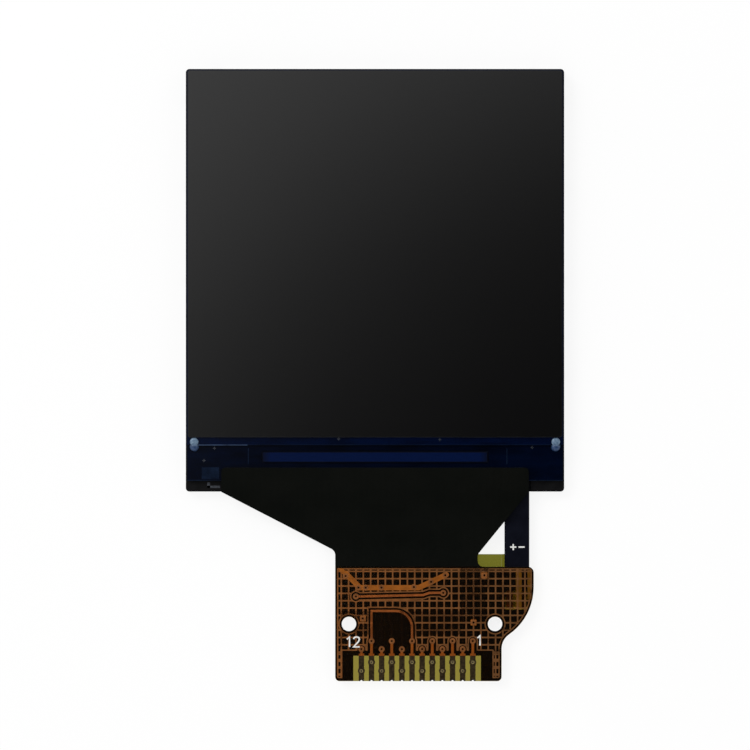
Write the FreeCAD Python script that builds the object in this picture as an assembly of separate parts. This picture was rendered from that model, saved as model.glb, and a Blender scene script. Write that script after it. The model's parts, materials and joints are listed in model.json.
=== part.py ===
import FreeCAD, Part
import math
import os

# Small TFT display module: a liquid crystal panel on an edge-lit backlight in a steel tray with a
# moulded frame, a driver chip on the glass ledge, and a double-sided flexible circuit tail.
# Units are millimetres. X is right and Y is up as the display is read, Z points at the viewer.
# The origin is the middle of the steel back face.

V = FreeCAD.Vector
os.makedirs("parts", exist_ok=True)

# Module outline
MODULE_WIDTH = 26.16
MODULE_HEIGHT = 29.22
MODULE_CORNER = 0.25

# Steel tray of the backlight
STEEL = 0.10
WALL_HEIGHT = 0.55
CORNER_RELIEF = 0.42
KEY_RADIUS = 0.36
KEY_RISE = 0.36
KEY_SIDES = 10
FOLD_SIDES = 3
SIDE_KEY_INSET = 2.06
SIDE_KEY_STEP = 6.0
HEAD_KEY_INSET = 2.03
FOOT_KEY_INSET = 2.08
FOOT_HOLE_MIDDLE = (2.2, 0.88)
FOOT_HOLE_INSETS = ((3.74, 0.87), (0.88, 0.98))
KEY_RECESS = 0.015

# Moulded frame
FRAME_SIDE = 0.95
FRAME_HEAD = 1.0
FRAME_FOOT = 1.55
CHANNEL_GAP = 0.10
CHANNEL_FLOOR_GAP = 0.02

# Backlight layers
REFLECTOR = 0.065
GUIDE = 0.40
GUIDE_GAP = 0.05
EAR_WIDTH = 0.35
EAR_HEIGHT = 1.6
EAR_RISE = 20.0
DIFFUSER = 0.055
PRISM = 0.065
SHEET_INSET = 0.06
RIM_TAPE = 0.05
RIM_TAPE_INSET = 0.18
RIM_TAPE_LAP = 0.28

# Light emitting diodes and their flexible strip
LED_COUNT = 3
LED_SIDE = 4.48
LED_LENGTH = 3.0
LED_DEPTH = 1.0
LED_FRONT_GAP = 0.05
LED_BACK_GAP = 0.15
LED_FLOOR_GAP = 0.04
LED_WINDOW_LENGTH = 2.4
LED_WINDOW_WALL = 0.07
LED_WINDOW_DEPTH = 0.45
STRIP = 0.10
STRIP_TAPE = 0.04
STRIP_TAPE_DEPTH = 0.35
STRIP_LAP = 0.45
STRIP_END_GAP = 0.73
STRIP_BAY_GAP = 0.08
STRIP_SHEET_GAP = 0.10
LEG_LEFT = 8.96
LEG_WIDTH = 1.71
LEG_END_RISE = 6.24
LEG_CORNER = 0.10

# Liquid crystal panel
REAR_POLARIZER = 0.11
REAR_POLARIZER_INSET = 0.22
ARRAY_GLASS = 0.25
FILTER_GLASS = 0.20
TOP_POLARIZER = 0.14
GLASS_INSET = 0.10
GLASS_CHAMFER = 0.16
GLASS_FOOT_GAP = 0.78
LEDGE = 2.47
TOP_POLARIZER_INSET = 0.10
TOP_POLARIZER_FOOT_GAP = 0.53
TOP_POLARIZER_CORNER = 0.15

# Driver chip on the ledge
CHIP_LENGTH = 15.45
CHIP_DEPTH = 0.63
CHIP = 0.20
CHIP_BOND = 0.015
CHIP_BOND_MARGIN = 0.09
CHIP_FILTER_GAP = 0.53

# Conductive paste that joins the two glasses at the corners of the ledge
PASTE_INSET = 0.52
PASTE_UPPER_RADIUS = 0.30
PASTE_UPPER_HEIGHT = 0.08
PASTE_UPPER_RISE = 0.20
PASTE_LOWER_RADIUS = 0.32
PASTE_LOWER_HEIGHT = 0.27
PASTE_LOWER_DROP = 0.14
PASTE_CROWN = 0.7
PASTE_SIDES = 10

# Layers of the main flexible circuit
BOND_FILM = 0.02
BOND_MARGIN = 0.05
BASE_FILM = 0.04
COPPER = 0.015
COVER_FILM = 0.025
BEND_START = 0.25
BEND_SHOULDER_GAP = 0.1

# Outline of the main flexible circuit. Drops are measured down from the foot of the module, and
# rises up from the end of the tail.
BOND_HALF_WIDTH = 10.6
BOND_REACH = 1.67
TAIL_LEFT = -2.75
TAIL_WIDTH = 11.5
TAIL_DROP = 13.1
TAIL_CORNER = 0.30
LEFT_SHOULDER_RISE = 9.0
LEFT_SHOULDER_RADIUS = 0.5
NECK_RIGHT = 7.1
NECK_RISE = 8.75
NECK_RADIUS = 0.4
WING_RISE = 7.9
WING_RIGHT = 10.97
WING_CORNER = 0.4
WING_TURN_RISE = 6.5
WING_RADIUS = 4.0
WING_FOOT_RADIUS = 1.2
BLACK_FILM_RISE = 7.93

# Locating holes
LOCATING_HOLE_RADIUS = 0.5
LOCATING_HOLE_PITCH = 10.1
LOCATING_HOLE_LEFT = -1.8
LOCATING_HOLE_RISE = 3.95

# Contact row
CONTACTS = 12
CONTACT_PITCH = 0.7
CONTACT_WIDTH = 0.38
CONTACT_MIDDLE = 2.91
CONTACT_LENGTH = 1.75
CONTACT_WINDOW_MARGIN = 0.37
CONTACT_LAP = 0.15
NECK_TRACK = 0.18
VIA_SIDES = 6
VIA_BORE = 0.08
VIA_PLATING = 0.025
VIA_LAND = 0.19
PAD_VIA_LAND = 0.24
UPPER_RING_RISE = 2.77
LOWER_RING_RISE = 2.21
UPPER_VIA_RISE = 1.3
LOWER_VIA_RISE = 0.7

# Meshed ground plane on the front of the tail
MESH_PITCH = 0.508
MESH_LINE = 0.12
MESH_PHASE_X = -1.317
MESH_PHASE_RISE = 7.08
COPPER_EDGE_GAP = 0.13
GROUND_END_RISE = 2.1
CLEARANCE = 0.13
HOLE_CLEARANCE = 0.14
GUARD_WIDTH = 0.36
GUARD_END_RISE = 0.2
GUARD_RIGHT_LEFT = 8.12
RUNG_DEPTH = 0.34
RUNG_WIDTH = 0.14

# Conductors on the front, as points of X and rise
POWER_WIDTH = 0.36
POWER_TRACK = [(-2.03, 7.46), (-1.04, 6.46), (3.03, 6.46), (4.92, 7.36)]
POWER_VIAS = [(-2.03, 7.26), (-1.14, 6.46), (-0.64, 6.46), (0.45, 6.46), (2.69, 6.5), (3.88, 6.86),
              (4.86, 7.32)]
LOOSE_VIAS = [(-0.84, 4.33), (6.81, 4.05), (7.56, 7.31)]
LINK_WIDTH = 0.16
LINK_TRACK = [(-1.32, 5.85), (3.33, 5.95), (3.75, 6.1), (4.72, 6.1)]
LOOP_WIDTH = 0.16
LOOP_TOP_RISE = 4.85
LOOP_SHOULDER = 1.15
LOOP_FIRST_CONTACT = 1
LOOP_LAST_CONTACT = 5

# Conductors on the back: upper X, rise where the track turns aside, and contact from the left.
# The two lamp tracks: contact, lamp pad, drop of the pad's middle under the level run, and its rise.
BACK_TRACK = 0.14
BACK_TRACKS = [(-1.28, 4.2, 0), (-0.36, 4.8, 1), (0.0, 5.2, 2), (0.94, 4.2, 3), (1.42, 6.5, 4),
               (1.9, 6.6, 5), (2.3, 6.7, 6), (2.7, 6.8, 7), (3.3, 6.9, 8)]
LAMP_TRACKS = [(9, 0, 0.36, 6.68), (10, 1, 0.24, 5.9)]
LAMP_TURN = 0.3

# Solder pads of the lamp strip, on the strip and on the back of the wing
PAD_WIDTH = 0.48
PAD_PITCH = 0.87
PAD_INSET = 0.25
STRIP_PAD_LENGTH = 1.7
WING_PAD_LENGTH = 1.2
WING_PAD_GAP = 0.02
PAD_WINDOW_MARGIN = 0.06
SOLDER = 0.045
SOLDER_MARGIN = 0.04
SOLDER_FOOT = 0.25
SOLDER_ROUND = 0.03

# Yellow insulating tape over the solder joints
TAPE = 0.04
TAPE_LEFT = 6.37
TAPE_RIGHT = 10.56
TAPE_TOP_RISE = 8.77
TAPE_FOOT_RISE = 5.1
TAPE_RAMP = 0.2
TAPE_LEG_GAP = 0.02

# Shortest edge that is drawn, and the share of a mesh cell that has to lie in the plane
SHORTEST_EDGE = 1e-6
WHOLE_CELL = 0.999

# Places and levels worked out from the sizes
RIGHT = MODULE_WIDTH / 2
TOP = MODULE_HEIGHT / 2
FOOT = -TOP
LEG_RIGHT = LEG_LEFT + LEG_WIDTH
POCKET_RIGHT = RIGHT - FRAME_SIDE
POCKET_TOP = TOP - FRAME_HEAD
POCKET_FOOT = FOOT + FRAME_FOOT
GUIDE_RIGHT = POCKET_RIGHT - GUIDE_GAP
GUIDE_TOP = POCKET_TOP - GUIDE_GAP
LED_BACK = POCKET_FOOT + LED_BACK_GAP
LED_FRONT = LED_BACK + LED_DEPTH
GUIDE_FOOT = LED_FRONT + LED_FRONT_GAP
STRIP_TOP = GUIDE_FOOT + STRIP_LAP
SHEET_FOOT = STRIP_TOP + STRIP_SHEET_GAP
GLASS_RIGHT = RIGHT - GLASS_INSET
GLASS_TOP = TOP - GLASS_INSET
ARRAY_FOOT = FOOT + GLASS_FOOT_GAP
FILTER_FOOT = ARRAY_FOOT + LEDGE
CHIP_TOP = FILTER_FOOT - CHIP_FILTER_GAP
TAIL_RIGHT = TAIL_LEFT + TAIL_WIDTH
LED_PITCH = 2 * (GUIDE_RIGHT - LED_SIDE) / (LED_COUNT - 1)
STRIP_HALF_LENGTH = POCKET_RIGHT - STRIP_END_GAP
PASTE_X = GLASS_RIGHT - PASTE_INSET
LEFT_SHOULDER_DROP = TAIL_DROP - LEFT_SHOULDER_RISE
BEND_END_DROP = LEFT_SHOULDER_DROP - BEND_SHOULDER_GAP
NECK_DROP = TAIL_DROP - NECK_RISE
WING_DROP = TAIL_DROP - WING_RISE
WING_TURN_DROP = TAIL_DROP - WING_TURN_RISE
BLACK_FILM_DROP = TAIL_DROP - BLACK_FILM_RISE
LEG_END_DROP = TAIL_DROP - LEG_END_RISE
TAPE_TOP_DROP = TAIL_DROP - TAPE_TOP_RISE
TAPE_FOOT_DROP = TAIL_DROP - TAPE_FOOT_RISE
MESH_PHASE_DROP = TAIL_DROP - MESH_PHASE_RISE
LOCATING_HOLE_DROP = TAIL_DROP - LOCATING_HOLE_RISE
CONTACT_WINDOW_DROP = TAIL_DROP - CONTACT_LENGTH
CONTACT_TOP_DROP = CONTACT_WINDOW_DROP - CONTACT_LAP
UPPER_RING_DROP = TAIL_DROP - UPPER_RING_RISE
LOWER_RING_DROP = TAIL_DROP - LOWER_RING_RISE
UPPER_VIA_DROP = TAIL_DROP - UPPER_VIA_RISE
LOWER_VIA_DROP = TAIL_DROP - LOWER_VIA_RISE
GROUND_END_DROP = TAIL_DROP - GROUND_END_RISE
GUARD_END_DROP = TAIL_DROP - GUARD_END_RISE
LOOP_TOP_DROP = TAIL_DROP - LOOP_TOP_RISE

Z_GUIDE = STEEL + REFLECTOR
Z_GUIDE_TOP = Z_GUIDE + GUIDE
Z_STRIP = Z_GUIDE_TOP + STRIP_TAPE
Z_STRIP_TOP = Z_STRIP + STRIP
Z_LOWER_PRISM = Z_GUIDE_TOP + DIFFUSER
Z_UPPER_PRISM = Z_LOWER_PRISM + PRISM
Z_FRAME_TOP = Z_UPPER_PRISM + PRISM
Z_REAR_POLARIZER = Z_FRAME_TOP + RIM_TAPE
Z_ARRAY = Z_REAR_POLARIZER + REAR_POLARIZER
Z_LEDGE = Z_ARRAY + ARRAY_GLASS
Z_FILTER_TOP = Z_LEDGE + FILTER_GLASS
Z_BASE_ON_LEDGE = Z_LEDGE + BOND_FILM
Z_TAIL_BACK = Z_STRIP_TOP
Z_BACK_COPPER = Z_TAIL_BACK + COVER_FILM
Z_BASE = Z_BACK_COPPER + COPPER
Z_FRONT_COPPER = Z_BASE + BASE_FILM
Z_FRONT_COVER = Z_FRONT_COPPER + COPPER
Z_STRIP_PAD = Z_STRIP - COPPER
Z_SOLDER = Z_STRIP_PAD - SOLDER
FAR = MODULE_HEIGHT


def below(drop):
    """The Y of a place a given distance below the foot of the module."""
    return FOOT - drop


def centred(count, pitch):
    """Places of an evenly pitched row about zero."""
    return [(i - (count - 1) / 2) * pitch for i in range(count)]


def contact_x(index):
    """The X of a contact, counted from the left."""
    return CONTACT_MIDDLE + centred(CONTACTS, CONTACT_PITCH)[index]


def rounded_face(corners):
    """A face in the XY plane through corners of x, y and radius."""
    points = [V(x, y, 0) for x, y, _ in corners]
    bends = []
    for i, (_, _, radius) in enumerate(corners):
        here = points[i]
        back = (points[i - 1] - here).normalize()
        ahead = (points[(i + 1) % len(points)] - here).normalize()
        half = back.getAngle(ahead) / 2
        if radius == 0:
            bends.append((here, here, here))
            continue
        reach = radius / math.tan(half)
        middle = (back + ahead).normalize() * (radius / math.sin(half) - radius)
        bends.append((here + back * reach, here + middle, here + ahead * reach))
    edges = []
    for i, (start, middle, end) in enumerate(bends):
        if (end - start).Length > SHORTEST_EDGE:
            edges.append(Part.Arc(start, middle, end).toShape())
        following = bends[(i + 1) % len(bends)][0]
        if (following - end).Length > SHORTEST_EDGE:
            edges.append(Part.LineSegment(end, following).toShape())
    return Part.Face(Part.Wire(edges))


def rectangle(left, right, foot, top, radius=0):
    """A rectangular face with equal corner radii."""
    return rounded_face([(left, foot, radius), (right, foot, radius), (right, top, radius),
                         (left, top, radius)])


def plate(face, low, high):
    """A flat face raised to a plate between two levels."""
    solid = face.extrude(V(0, 0, high - low))
    solid.translate(V(0, 0, low))
    return solid


def slab(left, right, foot, top, low, high, radius=0):
    """A rectangular plate between two levels."""
    return plate(rectangle(left, right, foot, top, radius), low, high)


def rod(x, y, radius, low, high):
    """An upright round rod between two levels."""
    return Part.makeCylinder(radius, high - low, V(x, y, low))


def bead(x, y, radius, low, high, sides=VIA_SIDES):
    """An upright rod of few flat sides, for what is small and comes many times."""
    turns = [2 * math.pi * (i + 0.5) / sides for i in range(sides)]
    spots = [V(x + radius * math.cos(turn), y + radius * math.sin(turn), 0) for turn in turns]
    return plate(Part.Face(Part.makePolygon(spots + spots[:1])), low, high)


def fused(shapes):
    """One shape from several that touch or overlap."""
    return shapes[0].multiFuse(shapes[1:]).removeSplitter() if len(shapes) > 1 else shapes[0]


def group(shapes):
    """Separate solids kept together as one node."""
    return Part.makeCompound([solid for shape in shapes for solid in shape.Solids])


def track_face(points, width):
    """The outline of a conductor of even width through points, with mitred turns."""
    spots = [V(x, y, 0) for x, y in points]
    runs = [(b - a).normalize() for a, b in zip(spots, spots[1:])]
    left = []
    right = []
    for spot, into, out in zip(spots, runs[:1] + runs, runs + runs[-1:]):
        mean = (into + out).normalize()
        side = V(-mean.y, mean.x, 0) * (width / 2 / mean.dot(into))
        left.append(spot + side)
        right.append(spot - side)
    return Part.Face(Part.makePolygon(left + right[::-1] + left[:1]))


def dropped(points):
    """Points of X and drop as points of X and Y."""
    return [(x, below(drop)) for x, drop in points]


def from_end(points):
    """Points of X and rise from the end of the tail as points of X and drop."""
    return [(x, TAIL_DROP - rise) for x, rise in points]


def tray_section(width, inner):
    """The section of the tray with its two folds: hollow inside, or filled up to its walls."""
    half = width / 2
    turns = [math.pi / 2 * i / FOLD_SIDES for i in range(FOLD_SIDES + 1)]
    fold = [(STEEL * (1 - math.cos(turn)), STEEL * (1 - math.sin(turn))) for turn in turns]
    outline = [(-half, WALL_HEIGHT, 0)] + [(x - half, z, 0) for x, z in fold]
    outline += [(half - x, z, 0) for x, z in fold[::-1]] + [(half, WALL_HEIGHT, 0)]
    if inner:
        outline += [(half - STEEL, WALL_HEIGHT, 0), (half - STEEL, STEEL, 0), (STEEL - half, STEEL, 0),
                    (STEEL - half, WALL_HEIGHT, 0)]
    return rounded_face(outline)


def tray_run(width, length, inner, along_x):
    """The tray's section carried along X or along Y, centred."""
    run = tray_section(width, inner)
    run.rotate(V(), V(1, 0, 0), 90)
    run = run.extrude(V(0, length, 0))
    run.translate(V(0, -length / 2, 0))
    if along_x:
        run.rotate(V(), V(0, 0, 1), 90)
    return run


def steel_back_cover():
    """A thin steel tray folded up on four sides, with holes that key it to the frame."""
    relief = 2 * CORNER_RELIEF
    tray = fused([tray_run(MODULE_WIDTH, MODULE_HEIGHT - relief, True, False),
                  tray_run(MODULE_HEIGHT, MODULE_WIDTH - relief, True, True)])
    hollow = slab(STEEL - RIGHT, RIGHT - STEEL, FOOT + STEEL, TOP - STEEL, STEEL, WALL_HEIGHT)
    cutters = [bead(x, y, KEY_RADIUS, 0, KEY_RISE, KEY_SIDES) for x, y in key_places()]
    return tray.cut([hollow] + cutters + foot_holes())


def key_places():
    """The places of the half-round key holes round the tray's edge."""
    side_end = TOP - SIDE_KEY_INSET
    head_end = RIGHT - HEAD_KEY_INSET
    foot_end = RIGHT - FOOT_KEY_INSET
    sides = [(side * RIGHT, y) for y in (-side_end, SIDE_KEY_STEP - side_end, 0,
                                         side_end - SIDE_KEY_STEP, side_end) for side in (-1, 1)]
    head = [(x, TOP) for x in (-head_end, -head_end / 2, 0, head_end / 2, head_end)]
    return sides + head + [(x, FOOT) for x in (-foot_end, 0, foot_end)]


def foot_holes():
    """The round holes near the foot of the tray, in pairs."""
    places = [FOOT_HOLE_MIDDLE] + [(RIGHT - inset, rise) for inset, rise in FOOT_HOLE_INSETS]
    return [rod(side * x, FOOT + rise, KEY_RADIUS, 0, STEEL) for x, rise in places for side in (-1, 1)]


def guide_face(gap):
    """The outline of the light guide with its two ears, grown by a gap."""
    body = rectangle(-GUIDE_RIGHT - gap, GUIDE_RIGHT + gap, GUIDE_FOOT - gap, GUIDE_TOP + gap)
    ear_foot = GUIDE_FOOT + EAR_RISE
    ears = rectangle(-GUIDE_RIGHT - EAR_WIDTH - gap, GUIDE_RIGHT + EAR_WIDTH + gap, ear_foot - gap,
                     ear_foot + EAR_HEIGHT + gap)
    return body.fuse(ears).removeSplitter().Faces[0]


def moulded_frame(steel):
    """The black frame, moulded round the tray so that it fills every key hole and corner."""
    lip = slab(-RIGHT, RIGHT, FOOT, TOP, WALL_HEIGHT, Z_FRAME_TOP, MODULE_CORNER)
    lower = tray_run(MODULE_WIDTH, MODULE_HEIGHT, False, False).common(
        tray_run(MODULE_HEIGHT, MODULE_WIDTH, False, True))
    lower = lower.common(slab(-RIGHT, RIGHT, FOOT, TOP, KEY_RECESS, WALL_HEIGHT, MODULE_CORNER))
    body = fused([lip, lower])
    bay = slab(-POCKET_RIGHT, POCKET_RIGHT, POCKET_FOOT, GUIDE_FOOT, 0, Z_FRAME_TOP)
    pocket = plate(guide_face(GUIDE_GAP), 0, Z_FRAME_TOP)
    channel = slab(LEG_LEFT - CHANNEL_GAP, LEG_RIGHT + CHANNEL_GAP, FOOT, POCKET_FOOT,
                   Z_STRIP - CHANNEL_FLOOR_GAP, Z_FRAME_TOP)
    return body.cut([bay, pocket, channel, steel])


def sheet(foot, inset, low, high):
    """An optical sheet in the frame's pocket."""
    return slab(inset - GUIDE_RIGHT, GUIDE_RIGHT - inset, foot, GUIDE_TOP - inset, low, high)


def led_body(x):
    """A side-firing lamp: a white housing open towards the light guide."""
    housing = slab(x - LED_LENGTH / 2, x + LED_LENGTH / 2, LED_BACK, LED_FRONT,
                   Z_GUIDE + LED_FLOOR_GAP, Z_STRIP)
    return housing.cut(led_window(x))


def led_window(x):
    """The phosphor that fills the mouth of a lamp."""
    return slab(x - LED_WINDOW_LENGTH / 2, x + LED_WINDOW_LENGTH / 2, LED_FRONT - LED_WINDOW_DEPTH,
                LED_FRONT, Z_GUIDE + LED_FLOOR_GAP + LED_WINDOW_WALL, Z_STRIP - LED_WINDOW_WALL)


def lamp_strip():
    """The strip that carries the lamps, with the leg that leaves through the frame's channel."""
    head = rectangle(-STRIP_HALF_LENGTH, STRIP_HALF_LENGTH, POCKET_FOOT + STRIP_BAY_GAP, STRIP_TOP)
    leg = rectangle(LEG_LEFT, LEG_RIGHT, below(LEG_END_DROP), STRIP_TOP, LEG_CORNER)
    return plate(head.fuse(leg).removeSplitter().Faces[0], Z_STRIP, Z_STRIP_TOP)


def strip_tape():
    """The adhesive that holds the strip on the edge of the light guide."""
    return slab(-STRIP_HALF_LENGTH, STRIP_HALF_LENGTH, GUIDE_FOOT, GUIDE_FOOT + STRIP_TAPE_DEPTH,
                Z_GUIDE_TOP, Z_STRIP)


def rim_tape():
    """The frame-shaped double-sided tape between backlight and panel."""
    outer = slab(RIM_TAPE_INSET - RIGHT, RIGHT - RIM_TAPE_INSET, ARRAY_FOOT, TOP - RIM_TAPE_INSET,
                 Z_FRAME_TOP, Z_REAR_POLARIZER)
    window = slab(RIM_TAPE_LAP - GUIDE_RIGHT, GUIDE_RIGHT - RIM_TAPE_LAP, SHEET_FOOT + RIM_TAPE_LAP,
                  GUIDE_TOP - RIM_TAPE_LAP, Z_FRAME_TOP, Z_REAR_POLARIZER)
    return outer.cut(window)


def glass(foot, low, high):
    """A pane with its two top corners cut off."""
    cut_right = GLASS_RIGHT - GLASS_CHAMFER
    cut_top = GLASS_TOP - GLASS_CHAMFER
    corners = [(-GLASS_RIGHT, foot, 0), (GLASS_RIGHT, foot, 0), (GLASS_RIGHT, cut_top, 0),
               (cut_right, GLASS_TOP, 0), (-cut_right, GLASS_TOP, 0), (-GLASS_RIGHT, cut_top, 0)]
    return plate(rounded_face(corners), low, high)


def rear_polarizer():
    """The film on the back of the array glass."""
    inset = REAR_POLARIZER_INSET
    return slab(inset - GLASS_RIGHT, GLASS_RIGHT - inset, ARRAY_FOOT + inset, GLASS_TOP - inset,
                Z_REAR_POLARIZER, Z_ARRAY)


def top_polarizer():
    """The film on the front, short of the glass at the ledge."""
    inset = TOP_POLARIZER_INSET
    return slab(inset - GLASS_RIGHT, GLASS_RIGHT - inset, FILTER_FOOT + TOP_POLARIZER_FOOT_GAP,
                GLASS_TOP - inset, Z_FILTER_TOP, Z_FILTER_TOP + TOP_POLARIZER, TOP_POLARIZER_CORNER)


def driver_chip():
    """The long thin driver chip, face down on the ledge."""
    return slab(-CHIP_LENGTH / 2, CHIP_LENGTH / 2, CHIP_TOP - CHIP_DEPTH, CHIP_TOP,
                Z_LEDGE + CHIP_BOND, Z_LEDGE + CHIP_BOND + CHIP)


def chip_bond():
    """The conductive film between chip and glass."""
    margin = CHIP_BOND_MARGIN
    return slab(-CHIP_LENGTH / 2 - margin, CHIP_LENGTH / 2 + margin, CHIP_TOP - CHIP_DEPTH - margin,
                CHIP_TOP + margin, Z_LEDGE, Z_LEDGE + CHIP_BOND)


def cap(x, y, low, radius, height):
    """A low round drop with a flattened crown."""
    base = bead(x, y, radius, low, low + height, PASTE_SIDES)
    return base.makeChamfer(height * PASTE_CROWN, base.Faces[-1].Edges)


def paste_dot(x, panes):
    """A two-lobed drop of paste, one lobe on each glass."""
    upper = cap(x, FILTER_FOOT + PASTE_UPPER_RISE, Z_FILTER_TOP, PASTE_UPPER_RADIUS,
                PASTE_UPPER_HEIGHT)
    lower = cap(x, FILTER_FOOT - PASTE_LOWER_DROP, Z_LEDGE, PASTE_LOWER_RADIUS, PASTE_LOWER_HEIGHT)
    return fused([upper, lower]).cut(panes)


def wing_corners():
    """The two corners of the wing's curved lower edge: one arc out and one arc in, tangent."""
    upper = V(WING_RIGHT - WING_RADIUS, below(WING_TURN_DROP), 0)
    lower_x = TAIL_RIGHT + WING_FOOT_RADIUS
    span = WING_RADIUS + WING_FOOT_RADIUS
    lower = V(lower_x, upper.y - math.sqrt(span ** 2 - (lower_x - upper.x) ** 2), 0)
    joint = upper + (lower - upper) * (WING_RADIUS / span)
    slope = V(upper.y - lower.y, lower.x - upper.x, 0).normalize()
    outer = joint + slope * ((WING_RIGHT - joint.x) / slope.x)
    inner = joint + slope * ((TAIL_RIGHT - joint.x) / slope.x)
    return [(inner.x, inner.y, WING_FOOT_RADIUS), (outer.x, outer.y, WING_RADIUS)]


def tail_face():
    """The outline of the main flexible circuit, from its bonded edge to its contacts."""
    return rounded_face([
        (-BOND_HALF_WIDTH, FOOT + BOND_REACH, TAIL_CORNER),
        (-BOND_HALF_WIDTH, FOOT, 0),
        (TAIL_LEFT, below(LEFT_SHOULDER_DROP), LEFT_SHOULDER_RADIUS),
        (TAIL_LEFT, below(TAIL_DROP), TAIL_CORNER),
        (TAIL_RIGHT, below(TAIL_DROP), TAIL_CORNER),
        *wing_corners(),
        (WING_RIGHT, below(WING_DROP), WING_CORNER),
        (NECK_RIGHT, below(WING_DROP), NECK_RADIUS),
        (NECK_RIGHT, below(NECK_DROP), NECK_RADIUS),
        (BOND_HALF_WIDTH, FOOT, 0),
        (BOND_HALF_WIDTH, FOOT + BOND_REACH, TAIL_CORNER),
    ])


def bent_line(height, start, end):
    """The side view of a line of the tail at a height above the back of the base film: level on
    the ledge, two equal arcs down past the foot of the module, then level to the end."""
    first = FOOT + BEND_START
    last = below(BEND_END_DROP)
    fall = Z_BASE_ON_LEDGE - Z_BASE
    angle = 2 * math.atan2(fall, first - last)
    radius = (first - last) / (2 * math.sin(angle))

    def upper(turn):
        reach = radius + height
        return V(0, first - reach * math.sin(turn), Z_BASE_ON_LEDGE - radius + reach * math.cos(turn))

    def lower(turn):
        reach = radius - height
        return V(0, last + reach * math.sin(turn), Z_BASE + radius - reach * math.cos(turn))

    begin = V(0, start, Z_BASE_ON_LEDGE + height)
    finish = V(0, end, Z_BASE + height)
    return [begin, finish], [
        Part.LineSegment(begin, upper(0)).toShape(),
        Part.Arc(upper(0), upper(angle / 2), upper(angle)).toShape(),
        Part.Arc(lower(angle), lower(angle / 2), lower(0)).toShape(),
        Part.LineSegment(lower(0), finish).toShape(),
    ]


def bent_layer(low, high, start, end):
    """A full-width layer of the tail between two heights above the back of the base film."""
    low_ends, low_edges = bent_line(low, start, end)
    high_ends, high_edges = bent_line(high, start, end)
    caps = [Part.LineSegment(a, b).toShape() for a, b in zip(low_ends, high_ends)]
    section = Part.Face(Part.Wire(Part.__sortEdges__(low_edges + high_edges + caps)))
    section.translate(V(-RIGHT, 0, 0))
    return section.extrude(V(MODULE_WIDTH, 0, 0))


def upright(face):
    """A face swept through the whole height of the module, to trim a bent layer."""
    return plate(face, 0, FAR)


def locating_holes(extra=0):
    """Rods through the two locating holes."""
    return [rod(LOCATING_HOLE_LEFT + offset, below(LOCATING_HOLE_DROP), LOCATING_HOLE_RADIUS + extra,
                0, FAR) for offset in (0, LOCATING_HOLE_PITCH)]


def contact_window():
    """The place where both cover films stop short of the contacts."""
    reach = CONTACT_PITCH * (CONTACTS - 1) / 2 + CONTACT_WIDTH / 2 + CONTACT_WINDOW_MARGIN
    return upright(rectangle(CONTACT_MIDDLE - reach, CONTACT_MIDDLE + reach, below(TAIL_DROP),
                             below(CONTACT_WINDOW_DROP)))


def is_upper(index):
    """Whether a contact has the upper of the two staggered rings."""
    return index % 2 == 1


def ring_drop(index):
    """The drop of the ring above a contact."""
    return UPPER_RING_DROP if is_upper(index) else LOWER_RING_DROP


def pad_bores(index, radius):
    """Beads through the via inside a contact pad and through the half hole at its end."""
    drops = (UPPER_VIA_DROP if is_upper(index) else LOWER_VIA_DROP, TAIL_DROP)
    return [bead(contact_x(index), below(drop), radius, 0, FAR) for drop in drops]


def contact_pad(index, low, high):
    """The pad on one side of the film, wider round its via."""
    x = contact_x(index)
    pad = slab(x - CONTACT_WIDTH / 2, x + CONTACT_WIDTH / 2, below(TAIL_DROP),
               below(CONTACT_TOP_DROP), low, high)
    via_drop = UPPER_VIA_DROP if is_upper(index) else LOWER_VIA_DROP
    return [pad, bead(x, below(via_drop), PAD_VIA_LAND, low, high)]


def contact_finger(index):
    """A plated contact: a pad on each side of the base film, joined through it by its two vias,
    and a neck on the front that ends in a ring."""
    x = contact_x(index)
    neck = slab(x - NECK_TRACK / 2, x + NECK_TRACK / 2, below(CONTACT_WINDOW_DROP),
                below(ring_drop(index)), Z_FRONT_COPPER, Z_FRONT_COVER)
    barrels = [barrel.common(slab(-RIGHT, RIGHT, below(FAR), 0, Z_BACK_COPPER, Z_FRONT_COVER))
               for barrel in pad_bores(index, VIA_BORE + VIA_PLATING)]
    body = fused(contact_pad(index, Z_BACK_COPPER, Z_BASE)
                 + contact_pad(index, Z_FRONT_COPPER, Z_FRONT_COVER)
                 + [neck, ring_land(x, ring_drop(index))] + barrels)
    past_the_edge = slab(-RIGHT, RIGHT, below(FAR), below(TAIL_DROP), 0, FAR)
    return body.cut(pad_bores(index, VIA_BORE) + [front_bore(x, ring_drop(index)), past_the_edge])


def flex_base_film():
    """The base film of the tail, drilled for its vias."""
    film = bent_layer(0, BASE_FILM, FOOT + BOND_REACH, below(TAIL_DROP)).common(upright(tail_face()))
    drilled = [hole for i in range(CONTACTS) for hole in pad_bores(i, VIA_BORE + VIA_PLATING)]
    return film.cut(drilled + locating_holes())


def black_front_film():
    """The black cover film on the front, from the bonded edge to the wing."""
    start = FOOT + BOND_REACH
    layer = bent_layer(BASE_FILM, BASE_FILM + COPPER + COVER_FILM, start, below(BLACK_FILM_DROP))
    return layer.common(upright(tail_face()))


def amber_front_film():
    """The clear amber cover film on the front of the tail."""
    film = plate(tail_face(), Z_FRONT_COVER, Z_FRONT_COVER + COVER_FILM)
    above = slab(-RIGHT, RIGHT, below(BLACK_FILM_DROP), TOP, 0, FAR)
    return film.cut(locating_holes() + [contact_window(), above])


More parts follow.
